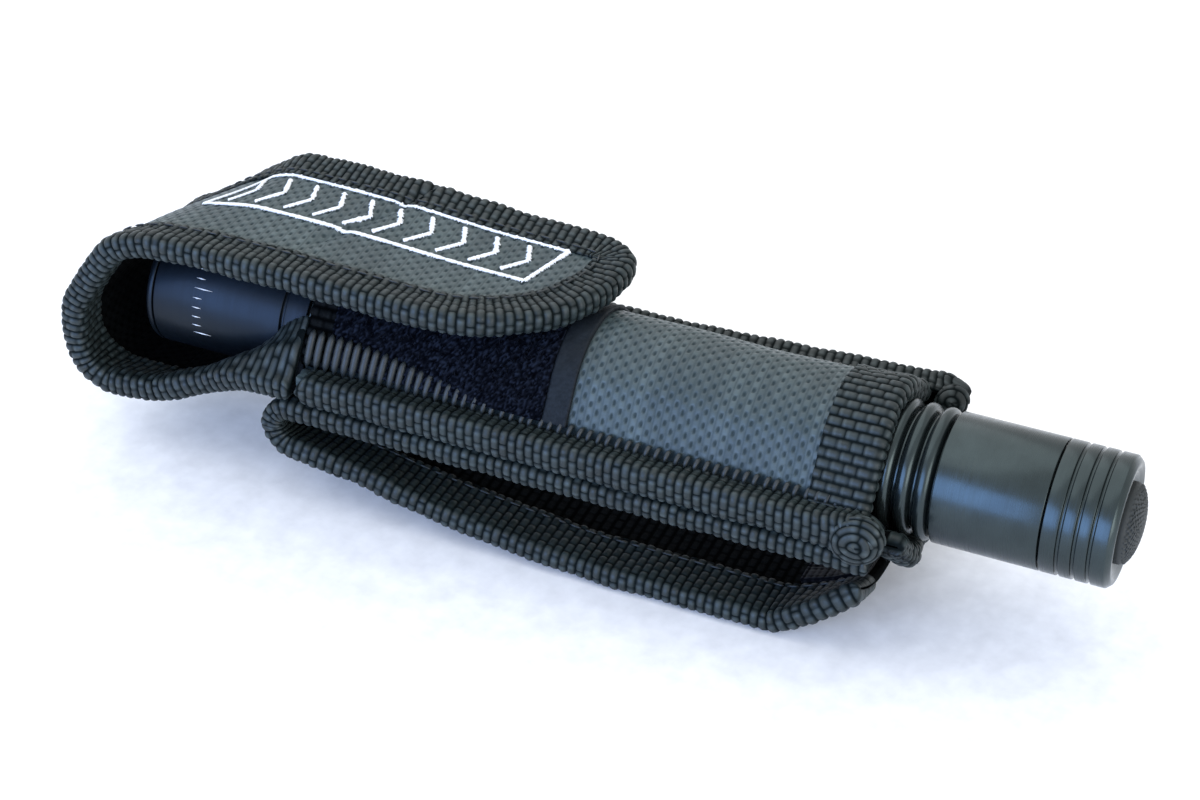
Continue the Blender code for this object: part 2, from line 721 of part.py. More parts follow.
def main():
    clear_scene()
    looks = surfaces()
    root = pivot("pouch_frame", 0.0, 0.0)
    light_axis = pivot("light_axis", 0.0, 0.0)
    half_flap = FLAP_THICKNESS / 2 + TAPE_OUT
    flap_hinge = pivot("flap_hinge_axis", CURL_LEFT - half_flap, FLAP_HINGE_Z)
    loop_hinge = pivot("loop_hinge_axis", LOOP_LEFT - LOOP_TAPE_HALF, LOOP_HINGE_Z)
    build_head(looks, light_axis)
    build_body(looks, light_axis)
    build_tail(looks, light_axis)
    build_panels(looks, root)
    build_flap(looks, flap_hinge)
    build_strap(looks, root)
    build_loop(looks, loop_hinge)


main()
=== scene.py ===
"""Looks of the two-cell tactical flashlight in its woven belt pouch.

Shapes are laid out in millimetres in the light's own frame, as the CAD model has them: x runs
along the light's axis towards the tail, zero at the joint between the body and the tail cap; y is
across; z is up from the axis. world() turns such points into the frame's metres.
"""
import math

import bmesh
import bpy
import numpy as np
from mathutils import Matrix, Vector

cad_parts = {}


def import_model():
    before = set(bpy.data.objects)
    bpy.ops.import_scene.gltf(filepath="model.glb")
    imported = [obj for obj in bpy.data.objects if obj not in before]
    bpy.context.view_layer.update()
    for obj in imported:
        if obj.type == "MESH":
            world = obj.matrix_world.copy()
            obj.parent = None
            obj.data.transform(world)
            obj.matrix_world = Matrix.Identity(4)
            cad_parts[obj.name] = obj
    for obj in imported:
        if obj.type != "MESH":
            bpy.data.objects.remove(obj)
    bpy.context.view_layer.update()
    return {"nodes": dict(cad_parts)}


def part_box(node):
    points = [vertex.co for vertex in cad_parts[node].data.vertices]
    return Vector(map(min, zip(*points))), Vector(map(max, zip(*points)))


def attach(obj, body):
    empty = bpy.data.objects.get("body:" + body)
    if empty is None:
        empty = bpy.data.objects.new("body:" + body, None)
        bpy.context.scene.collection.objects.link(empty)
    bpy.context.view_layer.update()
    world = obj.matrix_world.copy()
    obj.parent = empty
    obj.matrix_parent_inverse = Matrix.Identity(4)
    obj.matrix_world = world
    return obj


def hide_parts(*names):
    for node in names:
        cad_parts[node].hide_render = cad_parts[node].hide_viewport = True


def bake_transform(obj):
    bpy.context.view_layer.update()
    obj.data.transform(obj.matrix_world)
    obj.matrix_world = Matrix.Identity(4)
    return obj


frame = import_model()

MM = 0.001

# ---- The frame, in metres ----------------------------------------------------------------------
cap_low, cap_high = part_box("tail_cap")
CAP_END = 11.0                               # end face of the tail cap
AXIS_Z = (cap_low[2] + cap_high[2]) / 2
ZERO_X = cap_high[0] - CAP_END * MM

# ---- Driving dimensions, in millimetres --------------------------------------------------------
TUBE_R = 10.0
HEAD_FRONT = -147.0
HEAD_JOINT = -118.3
BOOT_END = 13.0
STRAP_HALF = 17.5
CLOTH_HALF = STRAP_HALF - 0.4                # the panels end a little inside their tapes
FLAP_HALF = 14.8
FABRIC = 1.5
FLAP_THICKNESS = 2.0
STRAP_THICKNESS = 1.4
STRAP_SLOT = STRAP_THICKNESS / 2 + 0.3       # half the gap inside the strap's folded tape
TAPE = 0.8
TAPE_OUT = 1.1                               # how far a binding stands out past the edge it covers
PANEL_R = 11.45                              # the panels' round over the light
SEAM_HALF = 14.0                             # the side seams, where the panels' height is SEAM_LIFT
SEAM_LIFT = 0.9
STRAP_R = 13.3                               # the same for the strap's sewn layer below
STRAP_SEAM = 15.0
STRAP_DROP = 5.4
BACK_END = -21.0
POUCH_HEM = -25.0
POUCH_MOUTH = -116.0
NEAR_CORNER = (25.0, 24.0)                   # the flap's rounded corners: along and across
FAR_CORNER = (6.5, 5.4)
CURL_LEFT = -157.2
HINGE_Z = 0.8
LOOP_LEFT = -120.8
LOOP_FOLD = -117.0
REST_Z = -21.5

RIB = 1.42                                   # pitch of the binding tape's ribs
FLOAT = 2.1                                  # length of each raised float on a rib
WARP = 1.18                                  # pitch of the ballistic weave along the pouch
WEFT = 0.93                                  # and across it
STEP = 0.2                                   # spacing of the points that carry a weave
SIDES = (("near", -1), ("far", 1))

rng = np.random.default_rng(7)


# ---- Points and curves -------------------------------------------------------------------------
def world(points):
    """Millimetres in the light's frame to metres in the world."""
    placed = np.asarray(points, dtype=float) * MM
    return placed + np.array([ZERO_X, 0.0, AXIS_Z])


def through(places, values):
    """A curve through the given values that never overshoots them."""
    xs = np.array(places, dtype=float)
    ys = np.array(values, dtype=float)
    order = np.argsort(xs)
    xs = xs[order]
    ys = ys[order]
    steps = np.diff(xs)
    slopes = np.diff(ys) / steps
    tangents = np.zeros(len(xs))
    tangents[0] = slopes[0]
    tangents[-1] = slopes[-1]
    for i in range(1, len(xs) - 1):
        if slopes[i - 1] * slopes[i] > 0:
            tangents[i] = 2 * slopes[i - 1] * slopes[i] / (slopes[i - 1] + slopes[i])

    def value(x):
        x = np.asarray(x, dtype=float)
        i = np.clip(np.searchsorted(xs, x) - 1, 0, len(steps) - 1)
        t = (x - xs[i]) / steps[i]
        inside = np.clip(t, 0.0, 1.0)
        mid = ((1 + 2 * inside) * (1 - inside) ** 2 * ys[i]
               + inside * (1 - inside) ** 2 * steps[i] * tangents[i]
               + inside ** 2 * (3 - 2 * inside) * ys[i + 1]
               - inside ** 2 * (1 - inside) * steps[i] * tangents[i + 1])
        before = np.minimum(t, 0.0) * steps[i] * tangents[0]
        after = np.maximum(t - 1.0, 0.0) * steps[i] * tangents[-1]
        return mid + before + after
    return value


def ease(t):
    t = np.clip(t, 0.0, 1.0)
    return t * t * (3 - 2 * t)


def soft_max(a, b, blend):
    return (a + b + np.sqrt((a - b) ** 2 + blend ** 2)) / 2


def taut(y, radius, seam, lift):
    """Height of cloth drawn tight over a round of this radius from seams at (seam, lift)."""
    across = np.abs(y)
    touch = math.atan2(lift, seam) + math.acos(radius / math.hypot(seam, lift))
    touch_y = radius * math.cos(touch)
    touch_z = radius * math.sin(touch)
    round_part = np.sqrt(np.clip(radius ** 2 - across ** 2, 0.0, None))
    straight = lift + (touch_z - lift) * (seam - across) / (seam - touch_y)
    drawn = np.where(across <= touch_y, round_part, straight)
    return soft_max(drawn, lift, 0.5)


def noise(*coords, seed=0, scale=1.0):
    """A smooth, repeatable undulation between about -1 and 1."""
    mixer = np.random.default_rng(seed)
    total = 0.0
    for _ in range(5):
        phase = mixer.uniform(0, 2 * math.pi)
        inner = phase
        for c in coords:
            inner = inner + np.asarray(c) * scale * mixer.uniform(0.5, 1.6) * mixer.choice([-1, 1])
        total = total + np.sin(inner)
    return total / 3.0


def scatter(i, j):
    """A repeatable number from 0 to 1 for each whole-number pair."""
    return np.abs(np.sin(i * 12.9898 + j * 78.233 + 3.7) * 43758.5453) % 1.0


# ---- Weaves: each gives (height 0..1, tone 0..1) ------------------------------------------------
def ballistic(a, b):
    """Plain weave: the yarns across the pouch ride high, the others show sunk, in a checkerboard."""
    i = np.floor(a / WARP)
    j = np.floor(b / WEFT)
    across = 2 * (a / WARP - i - 0.5)
    along = 2 * (b / WEFT - j - 0.5)
    crown = 0.98 - 0.42 * across ** 2 - 0.06 * along ** 2
    hollow = np.clip(1.3 - (across / 0.54) ** 2 - (along / 1.1) ** 2, 0.0, 1.0)
    height = crown - 0.68 * hollow * ((i + j) % 2)
    return height, 0.5 + 0.7 * (scatter(i, 0) - 0.5) + 0.4 * (scatter(i, j) - 0.5)


def ribbed(s, t):
    """Binding tape: round ribs across it, broken into staggered floats; near one end of each float the tone
    carries a painted glint, a painted highlight.
    """
    i = np.floor(s / RIB)
    across = 2 * (s / RIB - i - 0.5)
    shifted = t / FLOAT + 0.5 * (i % 2) + 0.3 * (scatter(i, 1) - 0.5)
    j = np.floor(shifted)
    along = 2 * (shifted - j - 0.5)
    bump = np.clip(1.04 - 1.04 * np.abs(across) ** 2.3, 0.0, 1.0)
    notch = 1 - 0.8 * np.abs(along) ** 6
    swell = 1 - 0.28 * scatter(i, j)
    # painted highlight: a lighter band of tone near one end of each float, where light glints off its crown
    painted_glint = np.exp(-((along + 0.5) / 0.22) ** 2)
    return bump * notch * swell, 0.30 + 0.5 * (scatter(i, j) - 0.5) + 0.6 * painted_glint


def pile(a, b):
    """Brushed loops that lie in small tufts."""
    tufts = 0.5 + 0.5 * noise(a, b, seed=3, scale=3.1)
    fine = scatter(np.round(a / 0.3), np.round(b / 0.3))
    height = np.clip(0.35 * tufts + 0.65 * fine, 0.0, 1.0)
    return height, fine ** 3


def selvage(a, b):
    """A smooth, fine woven edge."""
    height = 0.7 + 0.3 * scatter(np.round(a / 0.6), np.round(b / 0.3))
    return height, 0.5 + 0.2 * noise(a, b, seed=5, scale=2.0)


# ---- Meshes ------------------------------------------------------------------------------------
def add_object(name, data):
    made = bpy.data.objects.new(name, data)
    bpy.context.scene.collection.objects.link(made)
    return made


def make_object(name, points, quads, look, relief=None, tone=None, caps=(), turn=True):
    """A smooth closed mesh object from points in the light's frame; turn makes its faces look out."""
    verts = world(np.reshape(points, (-1, 3)))
    mesh = bpy.data.meshes.new(name)
    mesh.vertices.add(len(verts))
    mesh.vertices.foreach_set("co", verts.astype(np.float32).ravel())
    corners = np.concatenate([np.ravel(quads), *caps]).astype(np.int32)
    totals = np.array([4] * len(quads) + [len(cap) for cap in caps], dtype=np.int32)
    mesh.loops.add(len(corners))
    mesh.loops.foreach_set("vertex_index", corners)
    mesh.polygons.add(len(totals))
    mesh.polygons.foreach_set("loop_start", np.concatenate([[0], np.cumsum(totals)[:-1]]))
    mesh.polygons.foreach_set("loop_total", totals)
    mesh.update(calc_edges=True)
    mesh.validate()
    for label, values in (("relief", relief), ("tone", tone)):
        if values is not None:
            layer = mesh.attributes.new(label, "FLOAT", "POINT")
            layer.data.foreach_set("value", np.asarray(values, dtype=np.float32).ravel())
    mesh.shade_smooth()
    mesh.materials.append(LOOKS[look])
    if turn:
        face_outward(mesh)
    return add_object(name, mesh)


def ring_quads(rows, count, closed_rows=False, start=0):
    """Quads that join rings of count points, each ring closed."""
    index = np.arange(rows * count).reshape(rows, count) + start
    first = index if closed_rows else index[:-1]
    second = np.roll(index, -1, axis=0) if closed_rows else index[1:]
    quads = np.stack([first, np.roll(first, -1, axis=1), np.roll(second, -1, axis=1), second], axis=-1)
    return quads.reshape(-1, 4)


def ring_caps(rows, count, start=0):
    """The two faces that close the first and the last of such rings."""
    last = start + (rows - 1) * count
    return [np.arange(start, start + count)[::-1], np.arange(last, last + count)]


def face_outward(mesh):
    """Turn a closed mesh's faces outward if they point in."""
    points = np.empty(len(mesh.vertices) * 3)
    mesh.vertices.foreach_get("co", points)
    points = points.reshape(-1, 3)
    mesh.calc_loop_triangles()
    corners = np.empty(len(mesh.loop_triangles) * 3, dtype=np.int32)
    mesh.loop_triangles.foreach_get("vertices", corners)
    a, b, c = (points[corners.reshape(-1, 3)[:, k]] for k in range(3))
    if np.einsum("ij,ij->i", a, np.cross(b, c)).sum() < 0:
        mesh.flip_normals()


def dress(made, carrier, node=None):
    """Say what carries a piece (a body, or a carrier function such as bent()), and which CAD node it
    replaces.
    """
    if callable(carrier):
        carrier(made)
    else:
        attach(made, carrier)
    if node:
        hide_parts(node)
    return made


def cloth_points(surface, u, y, height):
    """Points at this height off a surface that is given by the middle of the cloth."""
    small = 0.05
    along = surface(u + small, y) - surface(u - small, y)
    across = surface(u, y + small) - surface(u, y - small)
    normal = np.cross(along, across)
    normal /= np.linalg.norm(normal, axis=-1, keepdims=True)
    return surface(u, y) + normal * np.asarray(height)[..., None]


def sheet_object(name, surface, u, y, thickness, look, upper, lower, depth, lift=0.0, extra=0.0):
    """A closed sheet over the grids u and y; each of its two faces has a weave's (height, tone)."""
    faces = []
    for side, (height, tone) in ((1, upper), (-1, lower)):
        off = lift + side * (thickness / 2 + depth * (height - 0.6)) + extra
        faces.append((cloth_points(surface, u, y, off), height, tone))
    points, relief, tone = (np.concatenate([a, b[:, ::-1]], axis=1) for a, b in zip(*faces))
    rows, count = points.shape[:2]
    columns = np.arange(count // 2 - 1)
    ends = [np.stack([base + columns, base + columns + 1, base + count - 2 - columns,
                      base + count - 1 - columns], axis=-1) for base in (0, (rows - 1) * count)]
    quads = np.concatenate([ring_quads(rows, count), ends[0][:, ::-1], ends[1]])
    return make_object(name, points, quads, look, relief, tone)


def grid(us, half, columns):
    """Grids of u and y for rows at us and columns from -1 to 1."""
    return np.meshgrid(us, half * columns, indexing="ij")


def even(start, end, step):
    return np.linspace(start, end, max(2, int(round(abs(end - start) / step)) + 1))


def travelled(a, b):
    """The distance run at each point of a line given by two coordinates."""
    return np.concatenate([[0.0], np.cumsum(np.hypot(np.diff(a), np.diff(b)))])


def even_across(height, half, step):
    """Columns from -1 to 1, evenly spaced along the arc that height(y) draws, and each one's arc."""
    y = np.linspace(-half, half, 801)
    arc = travelled(y, height(y))
    spots = even(0.0, arc[-1], step)
    return np.interp(spots, arc, y) / half, spots - arc[-1] / 2


def tape_section(slot, reach, pinch):
    """The section of a folded tape: its middle's depth and height, normals, and distance along."""
    edge = slot + TAPE / 2
    arm = edge - pinch
    straight = np.linspace(reach, 0.4, 24)
    press = ease((straight - 0.4) / (reach - 0.4) * 1.3)
    upper = np.stack([straight, edge + (arm - edge) * press], axis=1)
    turn = np.linspace(0, math.pi, 40)[1:-1]
    squareness = 0.72
    sines = np.sin(turn) ** squareness
    cosines = np.sign(np.cos(turn)) * np.abs(np.cos(turn)) ** squareness
    bend = np.stack([0.4 - (0.4 + (TAPE_OUT - TAPE / 2)) * sines, edge * cosines], axis=1)
    middle = np.concatenate([upper, bend, upper[::-1] * np.array([1, -1])])
    length = travelled(*middle.T)
    spots = even(0.0, length[-1], 0.25)
    depth, height = (np.interp(spots, length, middle[:, k]) for k in (0, 1))
    tangent = np.stack([np.gradient(depth), np.gradient(height)], axis=1)
    tangent /= np.linalg.norm(tangent, axis=1, keepdims=True)
    normal = np.stack([-tangent[:, 1], tangent[:, 0]], axis=1)
    if normal[len(normal) // 2, 0] > 0:
        normal = -normal
    return depth, height, normal, spots


def tucked(run, first, last, reach):
    """How far the fold stands open along a tape: it closes round at each end that shows."""
    from_start = np.clip(run / reach, 0.0, 1.0) if first else 1.0
    from_end = np.clip((run[-1] - run) / reach, 0.0, 1.0) if last else 1.0
    return np.sqrt(np.clip(1 - (1 - np.minimum(from_start, from_end)) ** 2, 0.02, 1.0))


def tape_object(name, surface, route, slot, reach, look="tape", pinch=0.55, depth=0.4, width=1.0,
                ends=(False, False), puff=0.0, raised=0.0, rough=0.1):
    """Binding folded over an edge; route rows are (u, y, inward u, inward y, distance).

    width scales how far its arms reach in, ends says which ends close, puff fattens the first one
    and rolls its ribs round, raised draws the inner arm's free edge up, and rough is how far the
    tape's face strays from smooth.
    """
    sec_depth, sec_height, normal, spots = tape_section(slot, reach, pinch)
    run = route[:, 4]
    along, across = np.meshgrid(run, spots, indexing="ij")
    height, tone = ribbed(along, across)
    rise = TAPE / 2 + depth * (height - 0.6) + rough * noise(along, across, seed=11, scale=0.45)
    shrink = np.broadcast_to(width, len(route))[:, None]
    scaled = np.where(sec_depth > 0, sec_depth * shrink, sec_depth)
    few = np.unique(np.linspace(0, len(spots) - 1, 13).astype(int))[::-1]
    inner_d = scaled[:, few] - normal[few, 0] * TAPE / 2
    inner_h = sec_height[few] - normal[few, 1] * TAPE / 2 + 0 * shrink
    all_d = np.concatenate([scaled + normal[:, 0] * rise, inner_d], axis=1)
    all_h = np.concatenate([sec_height + normal[:, 1] * rise, inner_h], axis=1)
    fat = (1 + puff * np.exp(-((run - 3.6) / 4.6) ** 2))[:, None]
    all_h = all_h * (fat * tucked(run, *ends, 2.2 if puff else 1.7).reshape(-1, 1))
    all_d = np.where(all_d < 0, all_d * fat, all_d)
    u = route[:, 0][:, None] + route[:, 2][:, None] * all_d
    y = route[:, 1][:, None] + route[:, 3][:, None] * all_d
    if puff:
        rolled = 2.4 * np.exp(-run / 5.0) * np.sign(route[1, 0] - route[0, 0])
        u = u + rolled[:, None] * np.minimum(1.0, (all_h / (slot + TAPE) / fat) ** 2)
    points = cloth_points(surface, u, y, all_h)
    lifted = np.broadcast_to(raised, len(route))[:, None]
    points[..., 2] += lifted * np.clip(all_d / reach, 0.0, 1.2) ** 1.2 * (all_h < 0)
    # painted shade: the tape's inner face has zero relief, so it takes the crevice shade colour
    relief = np.concatenate([height, np.zeros(inner_d.shape)], axis=1)
    tones = np.concatenate([tone, np.full(inner_d.shape, 0.5)], axis=1)
    shape = points.shape[:2]
    return make_object(name, points, ring_quads(*shape), look, relief, tones, ring_caps(*shape))


def edge_route(places, side):
    """A route along one long edge of the pouch or its strap."""
    none = 0 * places
    return np.stack([places, side * STRAP_HALF + none, none, -side + none, travelled(places, none)], axis=1)


def thread_bars(name, starts, ends, radius, look="thread", bulge=0.0, sides=6, rings=5):
    """Short round threads, each from its start to its end, bowed upwards by the bulge."""
    starts = np.asarray(starts, dtype=float)
    span = np.asarray(ends, dtype=float) - starts
    tangent = span / np.linalg.norm(span, axis=1, keepdims=True)
    helper = np.tile(np.array([0.0, 0.0, 1.0]), (len(starts), 1))
    helper[np.abs(tangent[:, 2]) > 0.9] = [1.0, 0.0, 0.0]
    side = np.cross(tangent, helper)
    side /= np.linalg.norm(side, axis=1, keepdims=True)
    lift = np.cross(side, tangent)
    side, lift, starts, span = (a[:, None, None, :] for a in (side, lift, starts, span))
    share = np.linspace(0.0, 1.0, rings)[None, :, None, None]
    swell = np.sqrt(np.clip(1 - (2 * share - 1) ** 4, 0.02, 1.0))
    turn = (np.arange(sides) * 2 * math.pi / sides)[None, None, :, None]
    points = (starts + span * share
              + np.reshape(radius, (-1, 1, 1, 1)) * swell * (side * np.cos(turn) + lift * np.sin(turn)))
    points = points + np.array([0.0, 0.0, 1.0]) * (bulge * (4 * share * (1 - share)))
    bases = [k * rings * sides for k in range(len(starts))]
    quads = np.concatenate([ring_quads(rings, sides, start=base) for base in bases])
    caps = [cap for base in bases for cap in ring_caps(rings, sides, base)]
    return make_object(name, points, quads, look, caps=caps)


def fibre_object(name, base, tip, radius, look):
    """Tapered three-sided fibres."""
    turn = np.arange(3) * 2 * math.pi / 3
    around = np.stack([np.cos(turn), np.sin(turn), 0 * turn], axis=1) * radius
    points = np.concatenate([base[:, None, :] + around, tip[:, None, :] + 0.4 * around], axis=1)
    index = np.arange(len(base))[:, None] * 6
    quads = np.concatenate([index + np.array([a, (a + 1) % 3, (a + 1) % 3 + 3, a + 3]) for a in range(3)])
    caps = [*(index + np.array([2, 1, 0])), *(index + np.array([3, 4, 5]))]
    # the roots get low relief and tone, so painted shade, and the tips high ones, so a painted highlight
    relief = np.tile([0.3, 0.3, 0.3, 0.9, 0.9, 0.9], len(base))
    return make_object(name, points, quads, look, relief, relief, caps)


# ---- Materials ---------------------------------------------------------------------------------
class Nodes:
    """A material's node tree with a Principled shader, and short ways to add to it."""

    def __init__(self, name):
        self.material = bpy.data.materials.new(name)
        self.material.use_nodes = True
        self.tree = self.material.node_tree
        self.shader = self.tree.nodes["Principled BSDF"]
        self.coords = self.add("ShaderNodeTexCoord").outputs["Object"]

    def add(self, kind, **settings):
        node = self.tree.nodes.new(kind)
        for key, value in settings.items():
            setattr(node, key, value)
        return node

    def link(self, source, target):
        self.tree.links.new(source, target)

    def set(self, **values):
        for key, value in values.items():
            self.shader.inputs[key.replace("_", " ")].default_value = value

    def noise(self, scale, detail=3.0, rough=0.6, stretch=None):
        node = self.add("ShaderNodeTexNoise")
        node.inputs["Scale"].default_value = scale
        node.inputs["Detail"].default_value = detail
        node.inputs["Roughness"].default_value = rough
        source = self.coords
        if stretch is not None:
            mapping = self.add("ShaderNodeMapping")
            mapping.inputs["Scale"].default_value = stretch
            self.link(self.coords, mapping.inputs["Vector"])
            source = mapping.outputs["Vector"]
        self.link(source, node.inputs["Vector"])
        return node.outputs["Fac"]

    def attribute(self, name):
        return self.add("ShaderNodeAttribute", attribute_name=name).outputs["Fac"]

    def ramp(self, source, stops):
        node = self.add("ShaderNodeValToRGB")
        elements = node.color_ramp.elements
        while len(elements) < len(stops):
            elements.new(0.5)
        for element, (place, colour) in zip(elements, stops):
            element.position = place
            element.color = (*colour, 1.0)
        self.link(source, node.inputs["Fac"])
        return node.outputs["Color"]

    def mix(self, factor, first, second, blend="MIX"):
        node = self.add("ShaderNodeMix", data_type="RGBA", blend_type=blend)
        for socket, value in ((node.inputs[0], factor), (node.inputs[6], first), (node.inputs[7], second)):
            if isinstance(value, (int, float)):
                socket.default_value = value
            elif isinstance(value, tuple):
                socket.default_value = (*value, 1.0)
            else:
                self.link(value, socket)
        return node.outputs[2]

    def spread(self, source, low, high, out_low, out_high):
        node = self.add("ShaderNodeMapRange")
        for key, value in (("From Min", low), ("From Max", high), ("To Min", out_low),
                           ("To Max", out_high)):
            node.inputs[key].default_value = value
        self.link(source, node.inputs["Value"])
        return node.outputs["Result"]

    def bump(self, source, strength, distance):
        node = self.add("ShaderNodeBump")
        node.inputs["Strength"].default_value = strength
        node.inputs["Distance"].default_value = distance
        self.link(source, node.inputs["Height"])
        self.link(node.outputs["Normal"], self.shader.inputs["Normal"])


def woven_material(name, crevice_shade, face, bright, roughness, sheen=0.0, fibre=2600.0, strength=0.25,
                   lit=(0.3, 0.8), shine=0.36):
    """Cloth with painted shade in its crevices: colour goes from the crevice shade colour where the mesh's
    relief is low to the tone's face colours where it is high, and the specular level drops in the hollows
    too; fibres from noise.
    """
    nodes = Nodes(name)
    relief = nodes.attribute("relief")
    tone = nodes.attribute("tone")
    body = nodes.mix(nodes.spread(tone, 0.1, 0.9, 0.0, 1.0), face, bright)
    cloudy = nodes.ramp(nodes.noise(90.0), [(0.3, (0.8, 0.8, 0.82)), (0.7, (1.12, 1.12, 1.1))])
    body = nodes.mix(1.0, body, cloudy, "MULTIPLY")
    # painted shade: low relief mixes in the crevice shade colour
    colour = nodes.mix(nodes.spread(relief, *lit, 0.0, 1.0), crevice_shade, body)
    nodes.link(colour, nodes.shader.inputs["Base Color"])
    fibres = nodes.noise(fibre, 2.0, 0.5)
    nodes.link(nodes.spread(fibres, 0.3, 0.7, roughness - 0.08, roughness + 0.12),
               nodes.shader.inputs["Roughness"])
    nodes.bump(fibres, strength, 0.0001)
    # painted shade: less specular reflection in the weave's hollows
    nodes.link(nodes.spread(relief, 0.25, 0.85, 0.02, shine), nodes.shader.inputs["Specular IOR Level"])
    nodes.set(Sheen_Weight=sheen, Sheen_Roughness=0.35)
    nodes.shader.inputs["Sheen Tint"].default_value = (0.75, 0.85, 1.0, 1.0)
    return nodes.material


def anodised_material(name, colour, roughness):
    """Satin black anodising: fine turned lines round the axis, worn a little lighter in places."""
    nodes = Nodes(name)
    worn = nodes.noise(140.0, 4.0)
    shade = nodes.mix(nodes.spread(worn, 0.35, 0.7, 0.0, 1.0), colour,
                      tuple(1.35 * c for c in colour))
    nodes.link(shade, nodes.shader.inputs["Base Color"])
    lines = nodes.noise(900.0, 2.0, 0.5, stretch=(6.0, 0.02, 0.02))
    smudge = nodes.noise(60.0, 3.0)
    blend = nodes.mix(0.35, lines, smudge)
    nodes.link(nodes.spread(blend, 0.3, 0.7, roughness - 0.05, roughness + 0.09),
               nodes.shader.inputs["Roughness"])
    nodes.bump(nodes.mix(0.5, lines, nodes.noise(5200.0, 1.0)), 0.12, 0.00004)
    nodes.set(Metallic=0.82, Specular_IOR_Level=0.5, Coat_Weight=0.12, Coat_Roughness=0.25)
    return nodes.material


def plain_material(name, colour, roughness, metallic=0.0, grain=1500.0, strength=0.15, **more):
    """Moulded, turned or plated material with a fine grain and slight colour change."""
    nodes = Nodes(name)
    cloudy = nodes.noise(220.0, 3.0)
    shade = nodes.mix(nodes.spread(cloudy, 0.3, 0.7, 0.0, 1.0), tuple(0.86 * c for c in colour), colour)
    nodes.link(shade, nodes.shader.inputs["Base Color"])
    fine = nodes.noise(grain, 2.0)
    nodes.link(nodes.spread(fine, 0.3, 0.7, max(0.02, roughness - 0.06), roughness + 0.08),
               nodes.shader.inputs["Roughness"])
    nodes.bump(fine, strength, 0.00005)
    nodes.set(Metallic=metallic, **more)
    return nodes.material


LOOKS = {
    "tape": woven_material("binding_tape", (0.0035, 0.0055, 0.0058), (0.0100, 0.0160, 0.0158),
                           (0.036, 0.050, 0.051), 0.46, 0.02, lit=(0.15, 0.85)),
    "nylon": woven_material("ballistic_nylon", (0.0200, 0.0290, 0.0315), (0.038, 0.057, 0.059),
                            (0.060, 0.084, 0.086), 0.42, 0.05, 1800.0, 0.15, lit=(0.15, 0.9)),
    # painted shade: the lining cloth is near-black and barely specular, standing in for the shade inside
    # the curl and under the light
    "lining": woven_material("lining_nylon_painted_shade", (0.0002, 0.0003, 0.0004), (0.0007, 0.001, 0.0013),
                             (0.0016, 0.0022, 0.0026), 0.9, shine=0.05),
    # dark webbing, darkened further as painted shade for the inside of the loop and the mouth band under
    # the flap
    "webbing": woven_material("strap_webbing", (0.0004, 0.0007, 0.0009), (0.0012, 0.0018, 0.0022),
                              (0.004, 0.0055, 0.006), 0.8, shine=0.1),
    "pile": woven_material("loop_pile", (0.0003, 0.0005, 0.0012), (0.0014, 0.0022, 0.0048),
                           (0.010, 0.014, 0.024), 0.85, 0.02, 4000.0, 0.5, lit=(0.1, 0.7), shine=0.08),
    "selvage": woven_material("selvage", (0.002, 0.003, 0.0045), (0.0045, 0.007, 0.009),
                              (0.010, 0.014, 0.018), 0.6, 0.02, lit=(0.0, 0.9), shine=0.15),
    "hook": woven_material("hook_tape", (0.002, 0.002, 0.003), (0.010, 0.011, 0.012),
                           (0.022, 0.023, 0.026), 0.6),
    "thread": plain_material("sewing_thread", (0.014, 0.019, 0.020), 0.5, grain=3000.0, strength=0.4),
    "embroidery": plain_material("white_thread", (0.86, 0.88, 0.90), 0.42, grain=2600.0,
                                 strength=0.3, Sheen_Weight=0.3),
    "anodised": anodised_material("black_anodised", (0.030, 0.041, 0.042), 0.25),
    "head": anodised_material("blue_black_anodised", (0.007, 0.012, 0.018), 0.46),
    "rubber": plain_material("black_rubber", (0.016, 0.021, 0.022), 0.62, grain=2400.0, strength=0.3),
    "plastic": plain_material("black_plastic", (0.03, 0.03, 0.032), 0.45),
    "print": plain_material("white_print", (0.75, 0.77, 0.78), 0.5),
    "glass": plain_material("lens_glass", (0.95, 0.97, 1.0), 0.06, strength=0.02,
                            Transmission_Weight=1.0, IOR=1.5),
    "chrome": plain_material("reflector_chrome", (0.88, 0.88, 0.9), 0.10, 1.0, strength=0.05),
    "aluminium": plain_material("bare_aluminium", (0.75, 0.76, 0.78), 0.35, 1.0),
    "brass": plain_material("brass", (0.72, 0.54, 0.24), 0.33, 1.0),
    "emitter": plain_material("led_phosphor", (0.85, 0.72, 0.18), 0.28),
    "circuit": plain_material("circuit_board", (0.03, 0.17, 0.08), 0.45),
    "steel": plain_material("spring_steel", (0.62, 0.62, 0.64), 0.28, 1.0),
    "battery": plain_material("battery_case", (0.18, 0.19, 0.22), 0.38, 0.4),
}


# ---- The pouch's surfaces, each by the middle of its cloth -------------------------------------
def seam_roll(x, y):
    """The side seams sit a little round the light: lower on the near side, higher on the far one."""
    fade = ease((x + 128.0) / 16.0)
    rise = np.where(y > 0, 0.2 + 2.0 * ease((x + 72.0) / 50.0), -1.1)
    return rise * fade * ease((np.abs(y) - 8.0) / 6.0)


def front_height(y):
    return taut(y, PANEL_R, SEAM_HALF, SEAM_LIFT)


def front_surface(x, y):
    return np.stack([x, y, front_height(y) + seam_roll(x, y)], axis=-1)


def seam_surface(x, y):
    return np.stack([x, y, seam_roll(x, y)], axis=-1)


